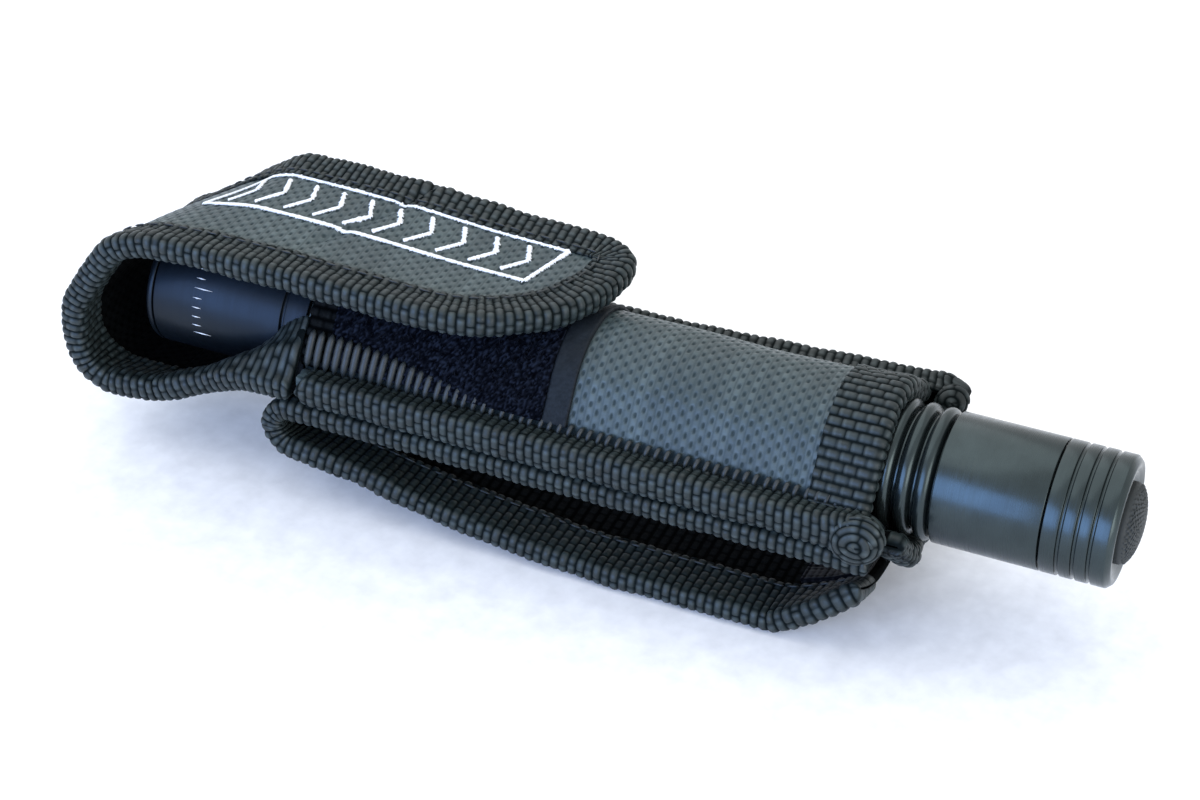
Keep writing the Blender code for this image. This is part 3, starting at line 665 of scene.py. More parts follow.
BACK_ROUTE = [(BACK_END, -PANEL_R, 1.0), (POUCH_MOUTH, -PANEL_R, 1.0), (-126.0, -11.9, 0.83),
              (-134.0, -12.7, 0.55), (-143.6, -14.1, 0.25), (-151.6, -13.7, 0.11),
              (-156.4, -10.2, 0.05), (-157.8, -4.6, 0.0), (CURL_LEFT, HINGE_Z, 0.0)]
FAR_SHIFT = (0.0, 0.0, 0.0, 0.0, 1.2, 3.0, 4.4, 5.0, 5.2)   # how far the curl's far side stands back
NEAR_ROUTE = [(-155.1, 4.9), (-151.9, 10.2), (-147.1, 15.0), (-139.8, 17.0), (-130.0, 17.3),
              (-110.0, 16.8), (-90.0, 16.2), (-72.0, 15.0)]
FAR_ROUTE = [(-149.7, 3.9), (-144.8, 6.7), (-139.4, 10.2), (-134.2, 14.1), (-127.0, 17.7),
             (-110.0, 17.7), (-90.0, 15.8), (-72.0, 15.2)]


def shell_route():
    """The back panel, the neck, the curl and the flap as one run of cloth, in its own length."""
    back = [point[:2] for point in BACK_ROUTE]
    near = back + NEAR_ROUTE
    far = [(x + shift, z) for (x, z), shift in zip(back, FAR_SHIFT)] + FAR_ROUTE
    steps = [math.hypot(b[0] - a[0], b[1] - a[1]) for a, b in zip(near, near[1:])]
    lengths = np.concatenate([[0.0], np.cumsum(steps)])
    cups = [point[2] for point in BACK_ROUTE] + [0.0] * len(NEAR_ROUTE)
    curves = {"cup": through(lengths, cups)}
    for label, route in (("near", near), ("far", far)):
        curves[label] = [through(lengths, values) for values in zip(*route)]
    return curves, lengths


SHELL, SHELL_LENGTHS = shell_route()
MOUTH_S = SHELL_LENGTHS[1]
NECK_START = MOUTH_S + 0.8                     # where the binding of the neck starts
NECK_S = SHELL_LENGTHS[4]                      # where the neck meets the curl
HINGE_S = SHELL_LENGTHS[len(BACK_ROUTE) - 1]
TIP_S = SHELL_LENGTHS[-1]
neck_half = through((0.0, MOUTH_S, MOUTH_S + 22.0, HINGE_S), (STRAP_HALF, STRAP_HALF, FLAP_HALF, FLAP_HALF))


def shell_surface(s, y):
    """The shell's cloth, with the flap's slight sag and the crease near its tip."""
    share = np.clip((y + FLAP_HALF) / (2 * FLAP_HALF), 0.0, 1.0) ** 1.35
    near_x, near_z = (curve(s) for curve in SHELL["near"])
    far_x, far_z = (curve(s) for curve in SHELL["far"])
    rise = (PANEL_R - front_height(y)) * SHELL["cup"](s)
    x = near_x * (1 - share) + far_x * share
    z = near_z * (1 - share) + far_z * share + rise + seam_roll(x, y) * (s < HINGE_S)
    on_flap = ease((s - HINGE_S - 14.0) / 12.0)
    sag = 0.28 * noise(s, y, seed=21, scale=0.11) * on_flap
    crease_place = TIP_S - 44.5 + 0.55 * (y + 4.0)
    crease = -0.42 * np.exp(-((s - crease_place) / 1.3) ** 2) * ease((y + 9.0) / 6.0) * on_flap
    return np.stack([x, y, z + sag + crease], axis=-1)


def shell_side(s, side):
    """Distance from the middle line to the shell's near (-1) or far (+1) edge."""
    along, across = NEAR_CORNER if side < 0 else FAR_CORNER
    into = np.clip((s - (TIP_S - along)) / along, 0.0, 1.0)
    tip = FLAP_HALF - across + across * np.sqrt(1 - into ** 2)
    return np.where(s > HINGE_S, tip, neck_half(s))


def shell_grid(us, inset, columns):
    """Grids of s and y between the shell's two edges, this much in from each."""
    near = inset - shell_side(us, -1)
    far = shell_side(us, 1) - inset
    u = np.repeat(us[:, None], len(columns), axis=1)
    return u, near[:, None] + (far - near)[:, None] * (columns + 1) / 2


def strap_height(y):
    return -taut(y, STRAP_R, STRAP_SEAM, STRAP_DROP)


LOOP_PLACES = (-117.0, -106.0, -95.0, -86.0, -76.0, -65.0, -38.0, -32.0, -23.5)
loop_base = through(LOOP_PLACES, (-15.8, -16.4, -18.1, -19.4, -20.6, REST_Z, REST_Z, -20.4, -17.2))
loop_cup = through(LOOP_PLACES, (2.6, 1.4, 0.4, 0.1, 0.0, 0.0, 0.0, 2.0, 6.9))
FOLD_TURN = 7.0
FOLD_S = -LOOP_FOLD + FOLD_TURN                # the leftmost line of the fold, along the strap
STRAP_START = -POUCH_HEM + 0.5
LOOP_TIP = FOLD_S + FOLD_TURN + (-24.0 - LOOP_FOLD)


def strap_surface(u, y):
    """The belt strap: sewn layer from the tail end, the fold, then the loop back to its tip."""
    upper = strap_height(y) + 0.35 * seam_roll(-u, y)
    angle = 0.5 * math.pi * np.clip((u + LOOP_FOLD) / FOLD_TURN, 0.0, 2.0)
    lower_x = LOOP_FOLD + np.maximum(u - FOLD_S - FOLD_TURN, 0.0)
    lower = loop_base(lower_x) + loop_cup(lower_x) * (y / STRAP_HALF) ** 2
    x = np.where(u <= -LOOP_FOLD, -u, lower_x + (LOOP_LEFT - LOOP_FOLD) * np.sin(angle))
    turn_z = (upper + lower) / 2 + (upper - lower) / 2 * np.cos(angle)
    z = np.where(u <= -LOOP_FOLD, upper, turn_z)
    return np.stack([x, y + 0 * z, z], axis=-1)


def back_surface(x, y):
    """The back panel's tail end, a little clear of the light."""
    roll = seam_roll(x, y)
    roll = np.minimum(roll, 0.0) + np.maximum(roll, 0.0) * ease((np.abs(y) - 11.5) / 3.0)
    return np.stack([x, y, roll - front_height(y) - 1.25], axis=-1)


# ---- The pouch's pieces ------------------------------------------------------------------------
def bent():
    """A carrier for dress(): it only bakes the piece's placement into its mesh and attaches it to no body.
    """
    def carry(made):
        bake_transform(made)
    return carry


WITH_FLAP = bent()
OVER_FOLD = bent()
UNDER_FOLD = bent()
PATCH_HALF = 12.9
FLAP_COLUMNS = 140
FLAP_TAPE_REACH = 5.4


def front_fabric():
    """The front panel's cloth, drawn in along a groove beside each side seam."""
    columns, arcs = even_across(front_height, CLOTH_HALF, STEP)
    us = np.concatenate([even(POUCH_MOUTH, -75.0, 1.0), even(-74.0, POUCH_HEM, STEP)])
    u, y = grid(us, CLOTH_HALF, columns)
    height, tone = ballistic(u, np.broadcast_to(arcs, u.shape))
    groove_share = np.exp(-((np.abs(y) - 13.5) / 0.8) ** 2)
    # In each groove the weave's relief goes to zero, which sinks it and also paints it with the nylon's
    # crevice shade colour, as painted shade.
    woven = (height * (1 - groove_share), tone)
    pucker = 0.16 * noise(u, y, seed=31, scale=0.35) - 0.6 * groove_share
    made = sheet_object("front_fabric", front_surface, u, y, FABRIC, "nylon", woven, woven, 0.24,
                        extra=pucker)
    return dress(made, "pouch", "front_panel")


def front_patch(name, node, start, end, look, weave, depth, lift=0.4):
    """A strip laid on the front panel."""
    columns, arcs = even_across(front_height, PATCH_HALF, 0.3)
    u, y = grid(even(start, end, 0.3), PATCH_HALF, columns)
    arc = np.broadcast_to(arcs, u.shape)
    made = sheet_object(name, front_surface, u, y, 0.8, look, weave(u, arc), selvage(u, arc), depth,
                        lift=FABRIC / 2 + 0.25 + lift)
    return dress(made, "pouch", node)


def pile_fibres():
    """Loose loops that stand up from the pile patch."""
    count = 5200
    x = rng.uniform(-110.2, -76.4, count)
    y = rng.uniform(-12.0, 12.0, count)
    base = cloth_points(front_surface, x, y, FABRIC / 2 + 0.95)
    top = cloth_points(front_surface, x, y, FABRIC / 2 + 1.25 + 0.35 * rng.random(count))
    lean = rng.normal(0.0, 0.34, (count, 3))
    return dress(fibre_object("pile_fibres", base, top + lean, 0.055, "pile"), "pouch")


def back_fabric():
    columns, _ = even_across(front_height, CLOTH_HALF, 0.6)
    u, y = shell_grid(even(0.0, MOUTH_S + 1.5, 0.8), 0.4, columns)
    woven = ballistic(u, y)
    # painted shade: the back panel takes the near-black lining cloth
    made = sheet_object("back_fabric", shell_surface, u, y, FABRIC, "lining", woven, woven, 0.05)
    return dress(made, "pouch", "back_panel")


def shell_fabric(name, us, carrier, node=None):
    """A length of the neck, the curl and the flap; the side that faces the light gets the near-black lining
    cloth, painted shade for the dark inside of the curl.
    """
    u, y = shell_grid(us, 0.5, np.linspace(-1.0, 1.0, FLAP_COLUMNS))
    woven = ballistic(u, y)
    # painted shade: the inner faces below take the near-black lining cloth
    made = sheet_object(name, shell_surface, u, y, FLAP_THICKNESS, "nylon", woven, woven, 0.22)
    made.data.materials.append(LOOKS["lining"])
    inside = np.arange(len(made.data.polygons)) % (2 * FLAP_COLUMNS) >= FLAP_COLUMNS
    made.data.polygons.foreach_set("material_index", inside.astype(np.int32))
    return dress(made, carrier, node)


def neck_fabric():
    return shell_fabric("neck_fabric", even(MOUTH_S + 1.8, NECK_S, 0.36), "pouch")


def flap_fabric():
    us = np.concatenate([even(NECK_S, HINGE_S + 6.0, 0.36), even(HINGE_S + 6.2, TIP_S - 0.5, 0.22)])
    return shell_fabric("flap_fabric", us, WITH_FLAP, "flap")


def shell_edge_route():
    """The shell's bound edge as one run: near side of the neck, the flap, its tip, the far side."""
    angle = np.linspace(0.0, 0.5 * math.pi, 200)[1:]
    lines = []
    for side, (along, across) in ((-1, NEAR_CORNER), (1, FAR_CORNER)):
        straight = even(NECK_START, TIP_S - along, STEP)
        lines.append(np.stack([straight, side * shell_side(straight, side)], axis=1))
        lines.append(np.stack([TIP_S - along + along * np.sin(angle),
                               side * (FLAP_HALF - across + across * np.cos(angle))], axis=1))
    line = np.concatenate([lines[0], lines[1], lines[3][::-1], lines[2][::-1]])
    run = travelled(*line.T)
    spots = even(0.0, run[-1], STEP)
    u, y = (np.interp(spots, run, values) for values in line.T)
    heading = smooth_heading(u, y)
    return np.stack([u, y, -heading[1], heading[0], spots], axis=1)


def smooth_heading(u, y):
    """Unit direction along a line of points, averaged over a few of them."""
    reach = 5
    kernel = np.ones(2 * reach + 1) / (2 * reach + 1)
    parts = [np.convolve(np.pad(np.gradient(p), reach, "edge"), kernel, "valid") for p in (u, y)]
    return np.stack(parts) / np.hypot(*parts)


def shell_bindings():
    """The tape round the shell's edge, in three lengths that meet in a valley between two ribs."""
    route = shell_edge_route()
    wider = 1 + 0.3 * (1 - ease((route[:, 0] - (HINGE_S - 16.0)) / 12.0))
    climb = through((0.0, 5.0, 13.0, 21.0, 25.0), (9.8, 7.6, 3.0, 0.4, 0.0))
    raised = np.where(route[:, 0] < NECK_S, climb(route[:, 0] - NECK_START), 0.0) * (route[:, 1] < 0)
    neck = NECK_S - NECK_START
    first = np.searchsorted(route[:, 4], RIB * round(neck / RIB))
    second = np.searchsorted(route[:, 4], RIB * round((route[-1, 4] - neck) / RIB))
    parts = (("neck_tape_near", slice(0, first + 1), (True, False), "pouch", "neck_binding_near"),
             ("flap_binding_tape", slice(first, second + 1), (False, False), WITH_FLAP, "flap_binding"),
             ("neck_tape_far", slice(second, len(route)), (False, True), "pouch", "neck_binding_far"))
    made = []
    for name, rows, ends, carrier, node in parts:
        tape = tape_object(name, shell_surface, route[rows], FLAP_THICKNESS / 2 + 0.25, FLAP_TAPE_REACH,
                           width=wider[rows], ends=ends, raised=raised[rows])
        made.append(dress(tape, carrier, node))
    return made


def side_bindings():
    """The tapes that close the pouch's two side seams, with their ends rolled over at the tail."""
    made = []
    for (label, side), end, puff in zip(SIDES, (-21.4, -18.7), (0.3, 0.12)):
        route = edge_route(even(end, POUCH_MOUTH + 0.4, STEP), side)
        tape = tape_object("side_tape_" + label, seam_surface, route, SEAM_LIFT + FABRIC / 2 + 0.2, 3.4,
                           pinch=0.5, ends=(True, True), puff=puff)
        made.append(dress(tape, "pouch", "side_binding_" + label))
    return made


def belt_strap():
    """The strap in two lengths that meet at the leftmost line of its fold."""
    columns, _ = even_across(strap_height, CLOTH_HALF, 0.4)
    parts = (("belt_strap_sewn", STRAP_START, FOLD_S, OVER_FOLD, "back_strap"),
             ("belt_strap_loop", FOLD_S, LOOP_TIP, UNDER_FOLD, "belt_loop"))
    made = []
    for name, start, end, carrier, node in parts:
        u, y = grid(even(start, end, 0.4), CLOTH_HALF, columns)
        woven = ribbed(u * RIB / 1.6, y)
        # the strap's webbing is darkened as painted shade inside the loop
        piece = sheet_object(name, strap_surface, u, y, STRAP_THICKNESS, "webbing", woven, woven, 0.12)
        made.append(dress(piece, carrier, node))
    return made


def strap_bindings():
    """The tapes along the strap's two edges; the loop's grow wider away from the fold."""
    parts = (("strap_tape", STRAP_START - 3.2, FOLD_S, OVER_FOLD, "strap_binding", 3.0, (True, False)),
             ("loop_tape", FOLD_S, LOOP_TIP + 0.6, UNDER_FOLD, "loop_binding", 7.6, (False, True)))
    made = []
    for name, start, end, carrier, node, reach, ends in parts:
        places = even(start, end, STEP)
        width = 0.4 + 0.6 * ease((places - FOLD_S) / 12.0) if name == "loop_tape" else 1.0
        for label, side in SIDES:
            tape = tape_object(name + "_" + label, strap_surface, edge_route(places, side), STRAP_SLOT,
                               reach, pinch=0.3, width=width, ends=ends)
            made.append(dress(tape, carrier, node + "_" + label))
    return made


def strap_patches():
    """Pile under the sewn layer and hooks on the loop, where the loop closes on itself."""
    lift = STRAP_THICKNESS / 2 + 0.6
    parts = (("strap_pile", 27.0, 58.0, "pile", pile, "loop", "pouch", "strap_loop_patch"),
             ("loop_hooks", LOOP_TIP - 11.0, LOOP_TIP - 0.8, "hook", hooks, "hook", "belt_loop",
              "loop_hook_patch"))
    made = []
    for name, start, end, look, weave, slot, carrier, node in parts:
        u, y = grid(even(start, end, 0.4), 9.0, np.linspace(-1.0, 1.0, 46))
        piece = sheet_object(name, strap_surface, u, y, 0.7, look, weave(u, y), selvage(u, y), 0.2,
                             lift=lift)
        made.append(dress(piece, carrier, node))
    return made


def hooks(a, b):
    """Rows of stiff hooks."""
    row, column = (2 * (c / pitch - np.floor(c / pitch) - 0.5) for c, pitch in ((a, 1.1), (b, 0.9)))
    return np.clip(1.25 - row ** 2 - column ** 2, 0.0, 1.0), 0.5 + 0 * a


def flap_hooks():
    u, y = grid(even(TIP_S - 44.0, TIP_S - 9.4, 0.3), 7.2, np.linspace(-1.0, 1.0, 50))
    piece = sheet_object("flap_hooks", shell_surface, u, y, 0.8, "hook", selvage(u, y), hooks(u, y), 0.3,
                         lift=-(FLAP_THICKNESS / 2 + 0.65))
    return dress(piece, "flap", "flap_hook_patch")


def seam_bridges():
    """The overlocked row beside each side seam: a thread from the tape to the panel every stitch."""
    pitch = 1.57
    made = []
    for label, side in SIDES:
        x = np.arange(POUCH_MOUTH + 0.5, -24.5, pitch)
        jitter = rng.normal(0.0, 0.08, len(x))
        long = ease((-78.0 - x) / 34)
        low = cloth_points(front_surface, x + jitter, np.full(len(x), side * 14.5), 1.15)
        high = cloth_points(front_surface, x + 0.45 + jitter, side * (12.5 - 2.4 * long),
                            FABRIC / 2 + 0.1 + 1.3 * long)
        piece = thread_bars("seam_stitches_" + label, low, high, 0.38 + 0.26 * long, bulge=0.35,
                            sides=8, rings=9)
        made.append(dress(piece, "pouch"))
    return made


def stitch_line(name, surface, places, height, carrier):
    """A running stitch: places are rows of (u, y) along the line."""
    run = travelled(*places.T)
    starts = np.arange(0.6, run[-1] - 2.2, 2.6)
    ends = [cloth_points(surface, *(np.interp(starts + shift, run, line) for line in places.T), height)
            for shift in (0.0, 2.0)]
    return dress(thread_bars(name, *ends, 0.17), carrier)


def flap_stitches():
    """The row that holds the flap's binding, on its outer face."""
    route = shell_edge_route()
    inset = FLAP_TAPE_REACH - 1.1
    places = (route[:, :2] + inset * route[:, 2:4])[route[:, 0] > NECK_S + 1.0]
    return stitch_line("flap_stitches", shell_surface, places, FLAP_THICKNESS / 2 + 0.78, WITH_FLAP)


def loop_stitches():
    """A running stitch along each tape of the loop."""
    u = even(FOLD_S + 14.0, LOOP_TIP - 1.0, 1.0)
    return [stitch_line("loop_stitches_" + label, strap_surface, np.stack([u, 0 * u + side * 10.8], axis=1),
                        STRAP_SLOT + 0.55, "belt_loop") for label, side in SIDES]


def motif_strokes():
    """The flap's embroidered motif by the (s, y) ends of its strokes: open chevrons in a frame."""
    first = TIP_S - 67.0
    last = TIP_S - 12.5
    low = -0.8
    high = 9.4
    bottom = low + 1.4
    top = high - 1.4
    middle = (bottom + top) / 2
    count = 10
    pitch = (last - first) / count
    strokes = []
    for i in range(count):
        s = first + 0.8 + i * pitch
        strokes.append(((s, bottom), (s + 3.0, middle)))
        strokes.append(((s + 3.0, middle), (s + 1.6, top)))
    slant = 3.0
    return strokes + [((first - slant, low), (last, low)), ((last + slant, high), (first + slant, high)),
                      ((last, low), (last + slant, high)), ((first + slant, high), (first - slant, low))]


def embroidery():
    """White satin stitches set side by side along each stroke, on the flap's far half."""
    half = 0.42
    starts = []
    ends = []
    for first, last in motif_strokes():
        stroke = np.subtract(last, first)
        length = math.hypot(*stroke)
        count = int(length / 0.21)
        middle = first + stroke * ((np.arange(count) + 0.5) / count)[:, None]
        across = np.array([-stroke[1], stroke[0]]) / length
        lean = stroke / length * 0.12
        ragged = (half + rng.normal(0.0, 0.09, count))[:, None]
        starts.append(middle - across * ragged - lean)
        ends.append(middle + across * ragged + lean)
    height = FLAP_THICKNESS / 2 + 0.12
    a, b = (cloth_points(shell_surface, *np.concatenate(places).T, height) for places in (starts, ends))
    return dress(thread_bars("flap_embroidery", a, b, 0.15, "embroidery", 0.14), WITH_FLAP)


def hem_tape(name, surface, x_edge, half, reach, look, inward, node=None, rough=0.1):
    """Binding folded over an end of the pouch, its ribs running along the pouch."""
    columns, arcs = even_across(front_height, half, STEP)
    y = columns * half
    route = np.stack([0 * y + x_edge, y, 0 * y + inward, 0 * y, arcs - arcs[0]], axis=1)
    made = tape_object(name, surface, route, FABRIC / 2 + 0.2, reach, look, pinch=0.25, depth=0.42,
                       ends=(True, True), rough=rough)
    return dress(made, "pouch", node)


def frayed_ends():
    """Loose fibres where the hem behind the tail end is cut and turned under, near side."""
    count = 420
    y = rng.uniform(-14.6, -5.0, count)
    x = BACK_END + 1.6 + rng.uniform(-3.5, 1.0, count)
    base = cloth_points(back_surface, x, y, -1.5)
    reach = rng.normal(0.0, 1.0, (count, 3)) * 0.28 + np.array([0.6, -0.3, 0.6])
    tip = base + reach * rng.uniform(0.5, 1.4, (count, 1))
    return dress(fibre_object("frayed_ends", base, tip, 0.06, "thread"), "pouch")


def rolled_ends():
    """The ends of the side tapes, rolled up into flat wads at the pouch's two tail corners."""
    places = (("near", (-24.6, -17.6, -1.4), 4.1, (0.12, -1.0, 0.10)),
              ("far", (-20.6, 13.9, 2.6), 2.7, (0.30, -0.75, 0.60)))
    tilt = np.linspace(0.04, math.pi - 0.04, 70)[:, None]
    turn = (np.arange(110) * 2 * math.pi / 110)[None, :]
    made = []
    for label, centre, radius, facing in places:
        out = np.array(facing) / np.linalg.norm(facing)
        right = np.cross([0.0, 0.0, 1.0], out)
        right /= np.linalg.norm(right)
        up = np.cross(out, right)
        ring = 1.5 * radius * tilt / (0.5 * math.pi) * np.where(tilt < 0.5 * math.pi, 1.0, -1.0) + 0.4
        middle = (np.floor(ring / RIB) + 0.5) * RIB
        floats = np.maximum(1, np.round(2 * math.pi * np.abs(middle) / (2.2 * FLOAT)))
        height, tone = ribbed(ring, turn / (2 * math.pi) * floats * FLOAT)
        swell = 1 + (0.3 * (height - 0.6) + 0.3 * noise(tilt, turn, seed=41, scale=1.3)) / radius
        lumpy = radius * swell
        points = (np.array(centre) + (lumpy * np.sin(tilt) * np.cos(turn))[..., None] * right
                  + (lumpy * np.sin(tilt) * np.sin(turn))[..., None] * up
                  + (0.52 * lumpy * np.cos(tilt))[..., None] * out)
        shape = points.shape[:2]
        piece = make_object("rolled_end_" + label, points, ring_quads(*shape), "tape", height + 0 * turn,
                            tone + 0 * turn, ring_caps(*shape))
        made.append(dress(piece, "pouch"))
    return made


# ---- The light's pieces ------------------------------------------------------------------------
def rounded(outline):
    """Cut each sharp corner of an outline back by a small chamfer, as (x, radius) points."""
    chamfer = 0.12
    points = [np.array(p, dtype=float) for p in outline]
    result = []
    for i, point in enumerate(points):
        before = points[i - 1]
        after = points[(i + 1) % len(points)]
        first = before - point
        second = after - point
        lengths = (np.linalg.norm(first), np.linalg.norm(second))
        turn = np.dot(first, second) / (lengths[0] * lengths[1])
        if point[1] < 0.01 or turn < -0.85:
            result.append(point)
            continue
        cut = min(chamfer, 0.35 * lengths[0], 0.35 * lengths[1])
        a = point + first / lengths[0] * cut
        b = point + second / lengths[1] * cut
        result += [a, (a + b) / 2 * 0.55 + point * 0.45, b]
    return result


def lathe(name, outline, look, body, node, steps=144, relief=None):
    """Turn a closed outline of (x, radius) points about the light's axis."""
    x, plain = np.array(outline).T
    turn = (np.arange(steps) * 2 * math.pi / steps)[:, None]
    radius = np.where(plain < 0.01, 0.0, plain) + (relief(x, plain, turn) if relief else 0 * turn)
    points = np.stack([x + 0 * turn, radius * np.cos(turn), radius * np.sin(turn)], axis=-1)
    made = make_object(name, points, ring_quads(steps, len(outline), closed_rows=True), look, turn=False)
    weld(made.data)
    face_outward(made.data)
    made.data.set_sharp_from_angle(angle=math.radians(50))
    dress(made, body, node)


def weld(mesh):
    """Join the points that meet on the axis."""
    builder = bmesh.new()
    builder.from_mesh(mesh)
    bmesh.ops.remove_doubles(builder, verts=builder.verts[:], dist=1e-6)
    bmesh.ops.dissolve_degenerate(builder, edges=builder.edges[:], dist=1e-7)
    builder.to_mesh(mesh)
    builder.free()


def groove(x, width, depth):
    """A turned groove with a rounded floor."""
    turn = np.linspace(0.0, math.pi, 9)
    return [(x - width / 2 * math.cos(t), TUBE_R - depth * math.sin(t) ** 0.5) for t in turn]


def head():
    bore = TUBE_R - 1.0
    front = HEAD_FRONT + 1.5
    end = HEAD_JOINT - 0.2
    outline = [(front, TUBE_R), *groove(-122.6, 0.7, 0.55), (end, TUBE_R), (end, bore), (front, bore)]
    lathe("head_visual", rounded(outline), "head", "flashlight", "head_shell")
    skirt = bore - 0.3
    opening = 7.9
    outline = [(HEAD_FRONT, opening), (HEAD_FRONT, TUBE_R - 0.7), (HEAD_FRONT + 0.2, TUBE_R - 0.22),
               (HEAD_FRONT + 0.7, TUBE_R), (front - 0.3, TUBE_R), (front - 0.3, skirt),
               (front + 2.0, skirt), (front + 2.0, opening), (front + 0.4, opening)]
    lathe("bezel_visual", rounded(outline), "head", "flashlight", "bezel_ring")


def grip_ridges():
    """Four full rounded ridges with narrow valleys between them."""
    first = -28.15
    pitch = 2.9
    valley = TUBE_R - 1.45
    height = 1.6
    floor_share = 0.3
    steps = 20
    points = []
    for i in range(4 * steps + 1):
        phase = i / steps
        climb = max(0.0, (abs(math.sin(math.pi * phase)) - floor_share) / (1 - floor_share))
        points.append((first + pitch * phase, valley + height * climb ** 0.34))
    return points


def body():
    neck = TUBE_R - 1.3
    bore = 7.65
    counterbore = TUBE_R - 1.1
    shoulder = HEAD_JOINT + 0.2
    outline = [(-123.4, bore), (-123.4, neck), (-120.3, neck), (-120.3, 8.15), (-119.3, 8.15),
               (-119.3, neck), (shoulder, neck), (shoulder, TUBE_R), *grip_ridges(), (-16.3, TUBE_R),
               (-0.15, TUBE_R), (-0.15, counterbore), (-9.3, counterbore), (-9.3, bore)]
    lathe("body_visual", rounded(outline), "anodised", "flashlight", "body_tube")


def tail():
    skirt = 8.6
    cavity = 7.4
    lip = 6.6
    seat = -1.6
    grooves = [point for x in (2.75, 5.1, 7.4) for point in groove(x, 0.62, 0.42)]
    end = CAP_END - 0.35
    outline = [(-8.7, cavity), (-8.7, skirt), (seat - 0.6, skirt), (seat - 0.6, 8.0), (seat + 0.6, 8.0),
               (seat + 0.6, skirt), (0.15, skirt), (0.15, TUBE_R), *grooves, (end - 0.85, TUBE_R),
               (end - 0.1, TUBE_R - 0.7), (end, TUBE_R - 0.95), (end, TUBE_R - 1.4), (end - 0.7, 7.3),
               (end - 1.0, lip), (9.0, lip), (9.0, cavity)]
    lathe("tail_visual", rounded(outline), "anodised", "tail_cap", "tail_cap")


def dome(base, height, radius, steps):
    """A quarter of an ellipse from the dome's top down to its foot, as (x, radius) points."""
    angles = [0.5 * math.pi * i / steps for i in range(steps + 1)]
    return [(base + height * math.cos(angle), radius * math.sin(angle)) for angle in angles]


def boot():
    """The rubber dome over the switch, with rings of small pimples."""
    wall = 6.2
    base = 10.6
    pitch = 0.95
    outer = dome(base, BOOT_END - base, wall, 60)
    inner = dome(base, BOOT_END - base - 0.9, wall - 1.6, 8)
    outline = [*outer, (8.7, wall), (8.7, 7.1), (7.9, 7.1), (7.9, wall - 1.6), *reversed(inner)]

    def pimples(x, radius, turn):
        beads = np.maximum(1, np.round(2 * math.pi * np.round(radius / pitch)))
        wave = np.cos(turn * beads) * np.cos(2 * math.pi * (radius / pitch))
        domed = (x > base + 0.15) & (radius < 5.9) & (radius > 0.5)
        return np.where(domed, 0.26 * wave, 0.0)
    lathe("boot_visual", outline, "rubber", "switch_button", "switch_boot", 240, pimples)


def head_marks():
    """Plain printed tick marks round part of the head, long and short in turn."""
    first = -138.4
    radius = TUBE_R + 0.03
    starts = []
    ends = []
    for i in range(11):
        angle = math.radians(100.0 + 9.0 * i)
        reach = 3.2 if i % 5 == 0 else 1.6
        y = radius * math.cos(angle)
        z = radius * math.sin(angle)
        starts.append((first, y, z))
        ends.append((first + reach, y, z))
    dress(thread_bars("head_marks", starts, ends, 0.11, "print", rings=3), "flashlight")


NODE_LOOKS = {
    "lens": "glass", "lens_o_ring": "rubber", "head_o_ring": "rubber", "tail_o_ring": "rubber",
    "reflector": "chrome", "led_emitter": "emitter", "led_board": "aluminium", "led_pill": "brass",
    "driver_board": "circuit", "driver_spring": "steel", "battery_front": "battery",
    "battery_rear": "battery", "switch_housing": "plastic", "switch_retaining_ring": "brass",
    "tail_spring": "steel", "switch_plunger": "plastic",
}


def dress_nodes():
    """Better materials on the CAD nodes that keep their shape."""
    for node, look in NODE_LOOKS.items():
        for slot in frame["nodes"][node].material_slots:
            slot.material = LOOKS[look]


# ---- The stage ---------------------------------------------------------------------------------
def floor():
    half = 2.5
    mesh = bpy.data.meshes.new("floor")
    mesh.from_pydata([(-half, -half, 0), (half, -half, 0), (half, half, 0), (-half, half, 0)], [],
                     [(0, 1, 2, 3)])
    mesh.materials.append(plain_material("pale_floor", (0.93, 0.93, 0.93), 0.7, grain=300.0, strength=0.02))
    made = add_object("floor", mesh)
    made.location.z = -0.0002


def lamp(name, place, size, power, colour=(1.0, 1.0, 1.0)):
    """A rectangular lamp that points at the object's middle."""
    light = bpy.data.lights.new(name, "AREA")
    light.shape = "RECTANGLE"
    light.size, light.size_y = size
    light.energy = power
    light.color = colour
    made = add_object(name, light)
    made.location = place
    made.rotation_mode = "QUATERNION"
    made.rotation_quaternion = (Vector((0.0, 0.0, 0.02)) - Vector(place)).to_track_quat("-Z", "Y")


def light_stage():
    sky = bpy.data.worlds.new("soft_white")
    sky.use_nodes = True
    background = sky.node_tree.nodes["Background"]
    background.inputs["Color"].default_value = (0.95, 0.97, 1.0, 1.0)
    background.inputs["Strength"].default_value = 1.0
    bpy.context.scene.world = sky
    lamp("key", (-0.35, 0.25, 0.85), (1.6, 1.4), 7.0, (0.96, 0.98, 1.0))
    lamp("fill", (0.75, -0.40, 0.22), (0.5, 0.5), 3.0)
    lamp("window", (-0.31, -0.90, 0.30), (1.1, 0.6), 11.5, (0.27, 0.48, 1.0))


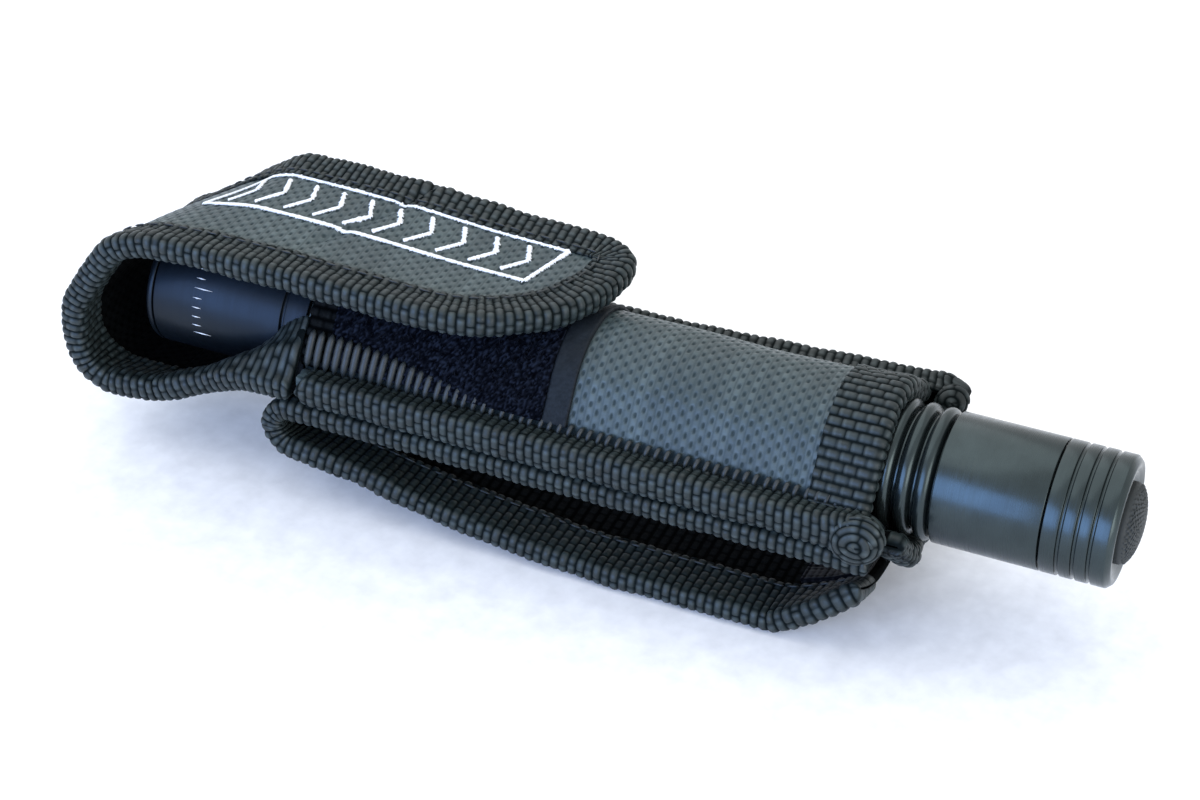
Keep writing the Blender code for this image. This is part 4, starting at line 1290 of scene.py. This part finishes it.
def camera():
    """The view that shows the near side, the top and the tail: lens 82.6 mm on a 36 mm sensor."""
    azimuth = math.radians(23.16)
    elevation = math.radians(37.37)
    back = Vector((math.sin(azimuth) * math.cos(elevation), -math.cos(azimuth) * math.cos(elevation),
                   math.sin(elevation)))
    right = Vector((math.cos(azimuth), math.sin(azimuth), 0.0))
    up = back.cross(right)
    data = bpy.data.cameras.new("camera")
    data.lens = 82.59
    data.sensor_width = 36.0
    data.clip_start = 0.01
    made = add_object("camera", data)
    place = Vector(world([60.55, -310.58, 255.43]))
    made.matrix_world = Matrix.Translation(place) @ Matrix((right, up, back)).transposed().to_4x4()
    bpy.context.scene.camera = made


def build():
    camera()
    head()
    body()
    tail()
    boot()
    head_marks()
    dress_nodes()
    pieces = {"front": front_fabric(), "back": back_fabric(), "neck": neck_fabric(), "flap": flap_fabric()}
    velvet = front_patch("velvet_patch", "front_loop_patch", -112.2, -76.0, "pile", pile, 0.5)
    edge = front_patch("velvet_selvage", None, -75.9, -72.0, "selvage", selvage, 0.06, lift=0.1)
    fibres = pile_fibres()
    # the mouth band's webbing is darkened as painted shade under the flap
    mouth = hem_tape("mouth_tape", front_surface, POUCH_MOUTH, 13.6, 4.0, "webbing", 1.0, "mouth_hem")
    base = hem_tape("base_tape", front_surface, POUCH_HEM, 14.6, 8.4, "tape", -1.0, "base_hem")
    back_hem = hem_tape("back_tape", back_surface, BACK_END + 1.6, 14.6, 6.0, "tape", -1.0, rough=0.4)
    frays = frayed_ends()
    sides = side_bindings() + rolled_ends()
    pieces["front_trims"] = [velvet, edge, fibres, mouth, base, frays, *sides, *seam_bridges()]
    pieces["back_trims"] = [back_hem]
    neck_near, flap_binding, neck_far = shell_bindings()
    pieces["neck_trims"] = [neck_near, neck_far]
    pieces["flap_trims"] = [flap_binding, flap_stitches(), embroidery(), flap_hooks()]
    pieces["strap"], pieces["loop"] = belt_strap()
    tapes = strap_bindings()
    patches = strap_patches()
    pieces["strap_trims"] = [tapes[0], tapes[1], patches[0]]
    pieces["loop_trims"] = [tapes[2], tapes[3], patches[1], *loop_stitches()]
    floor()
    light_stage()
    bpy.context.scene.view_settings.view_transform = "Standard"


build()
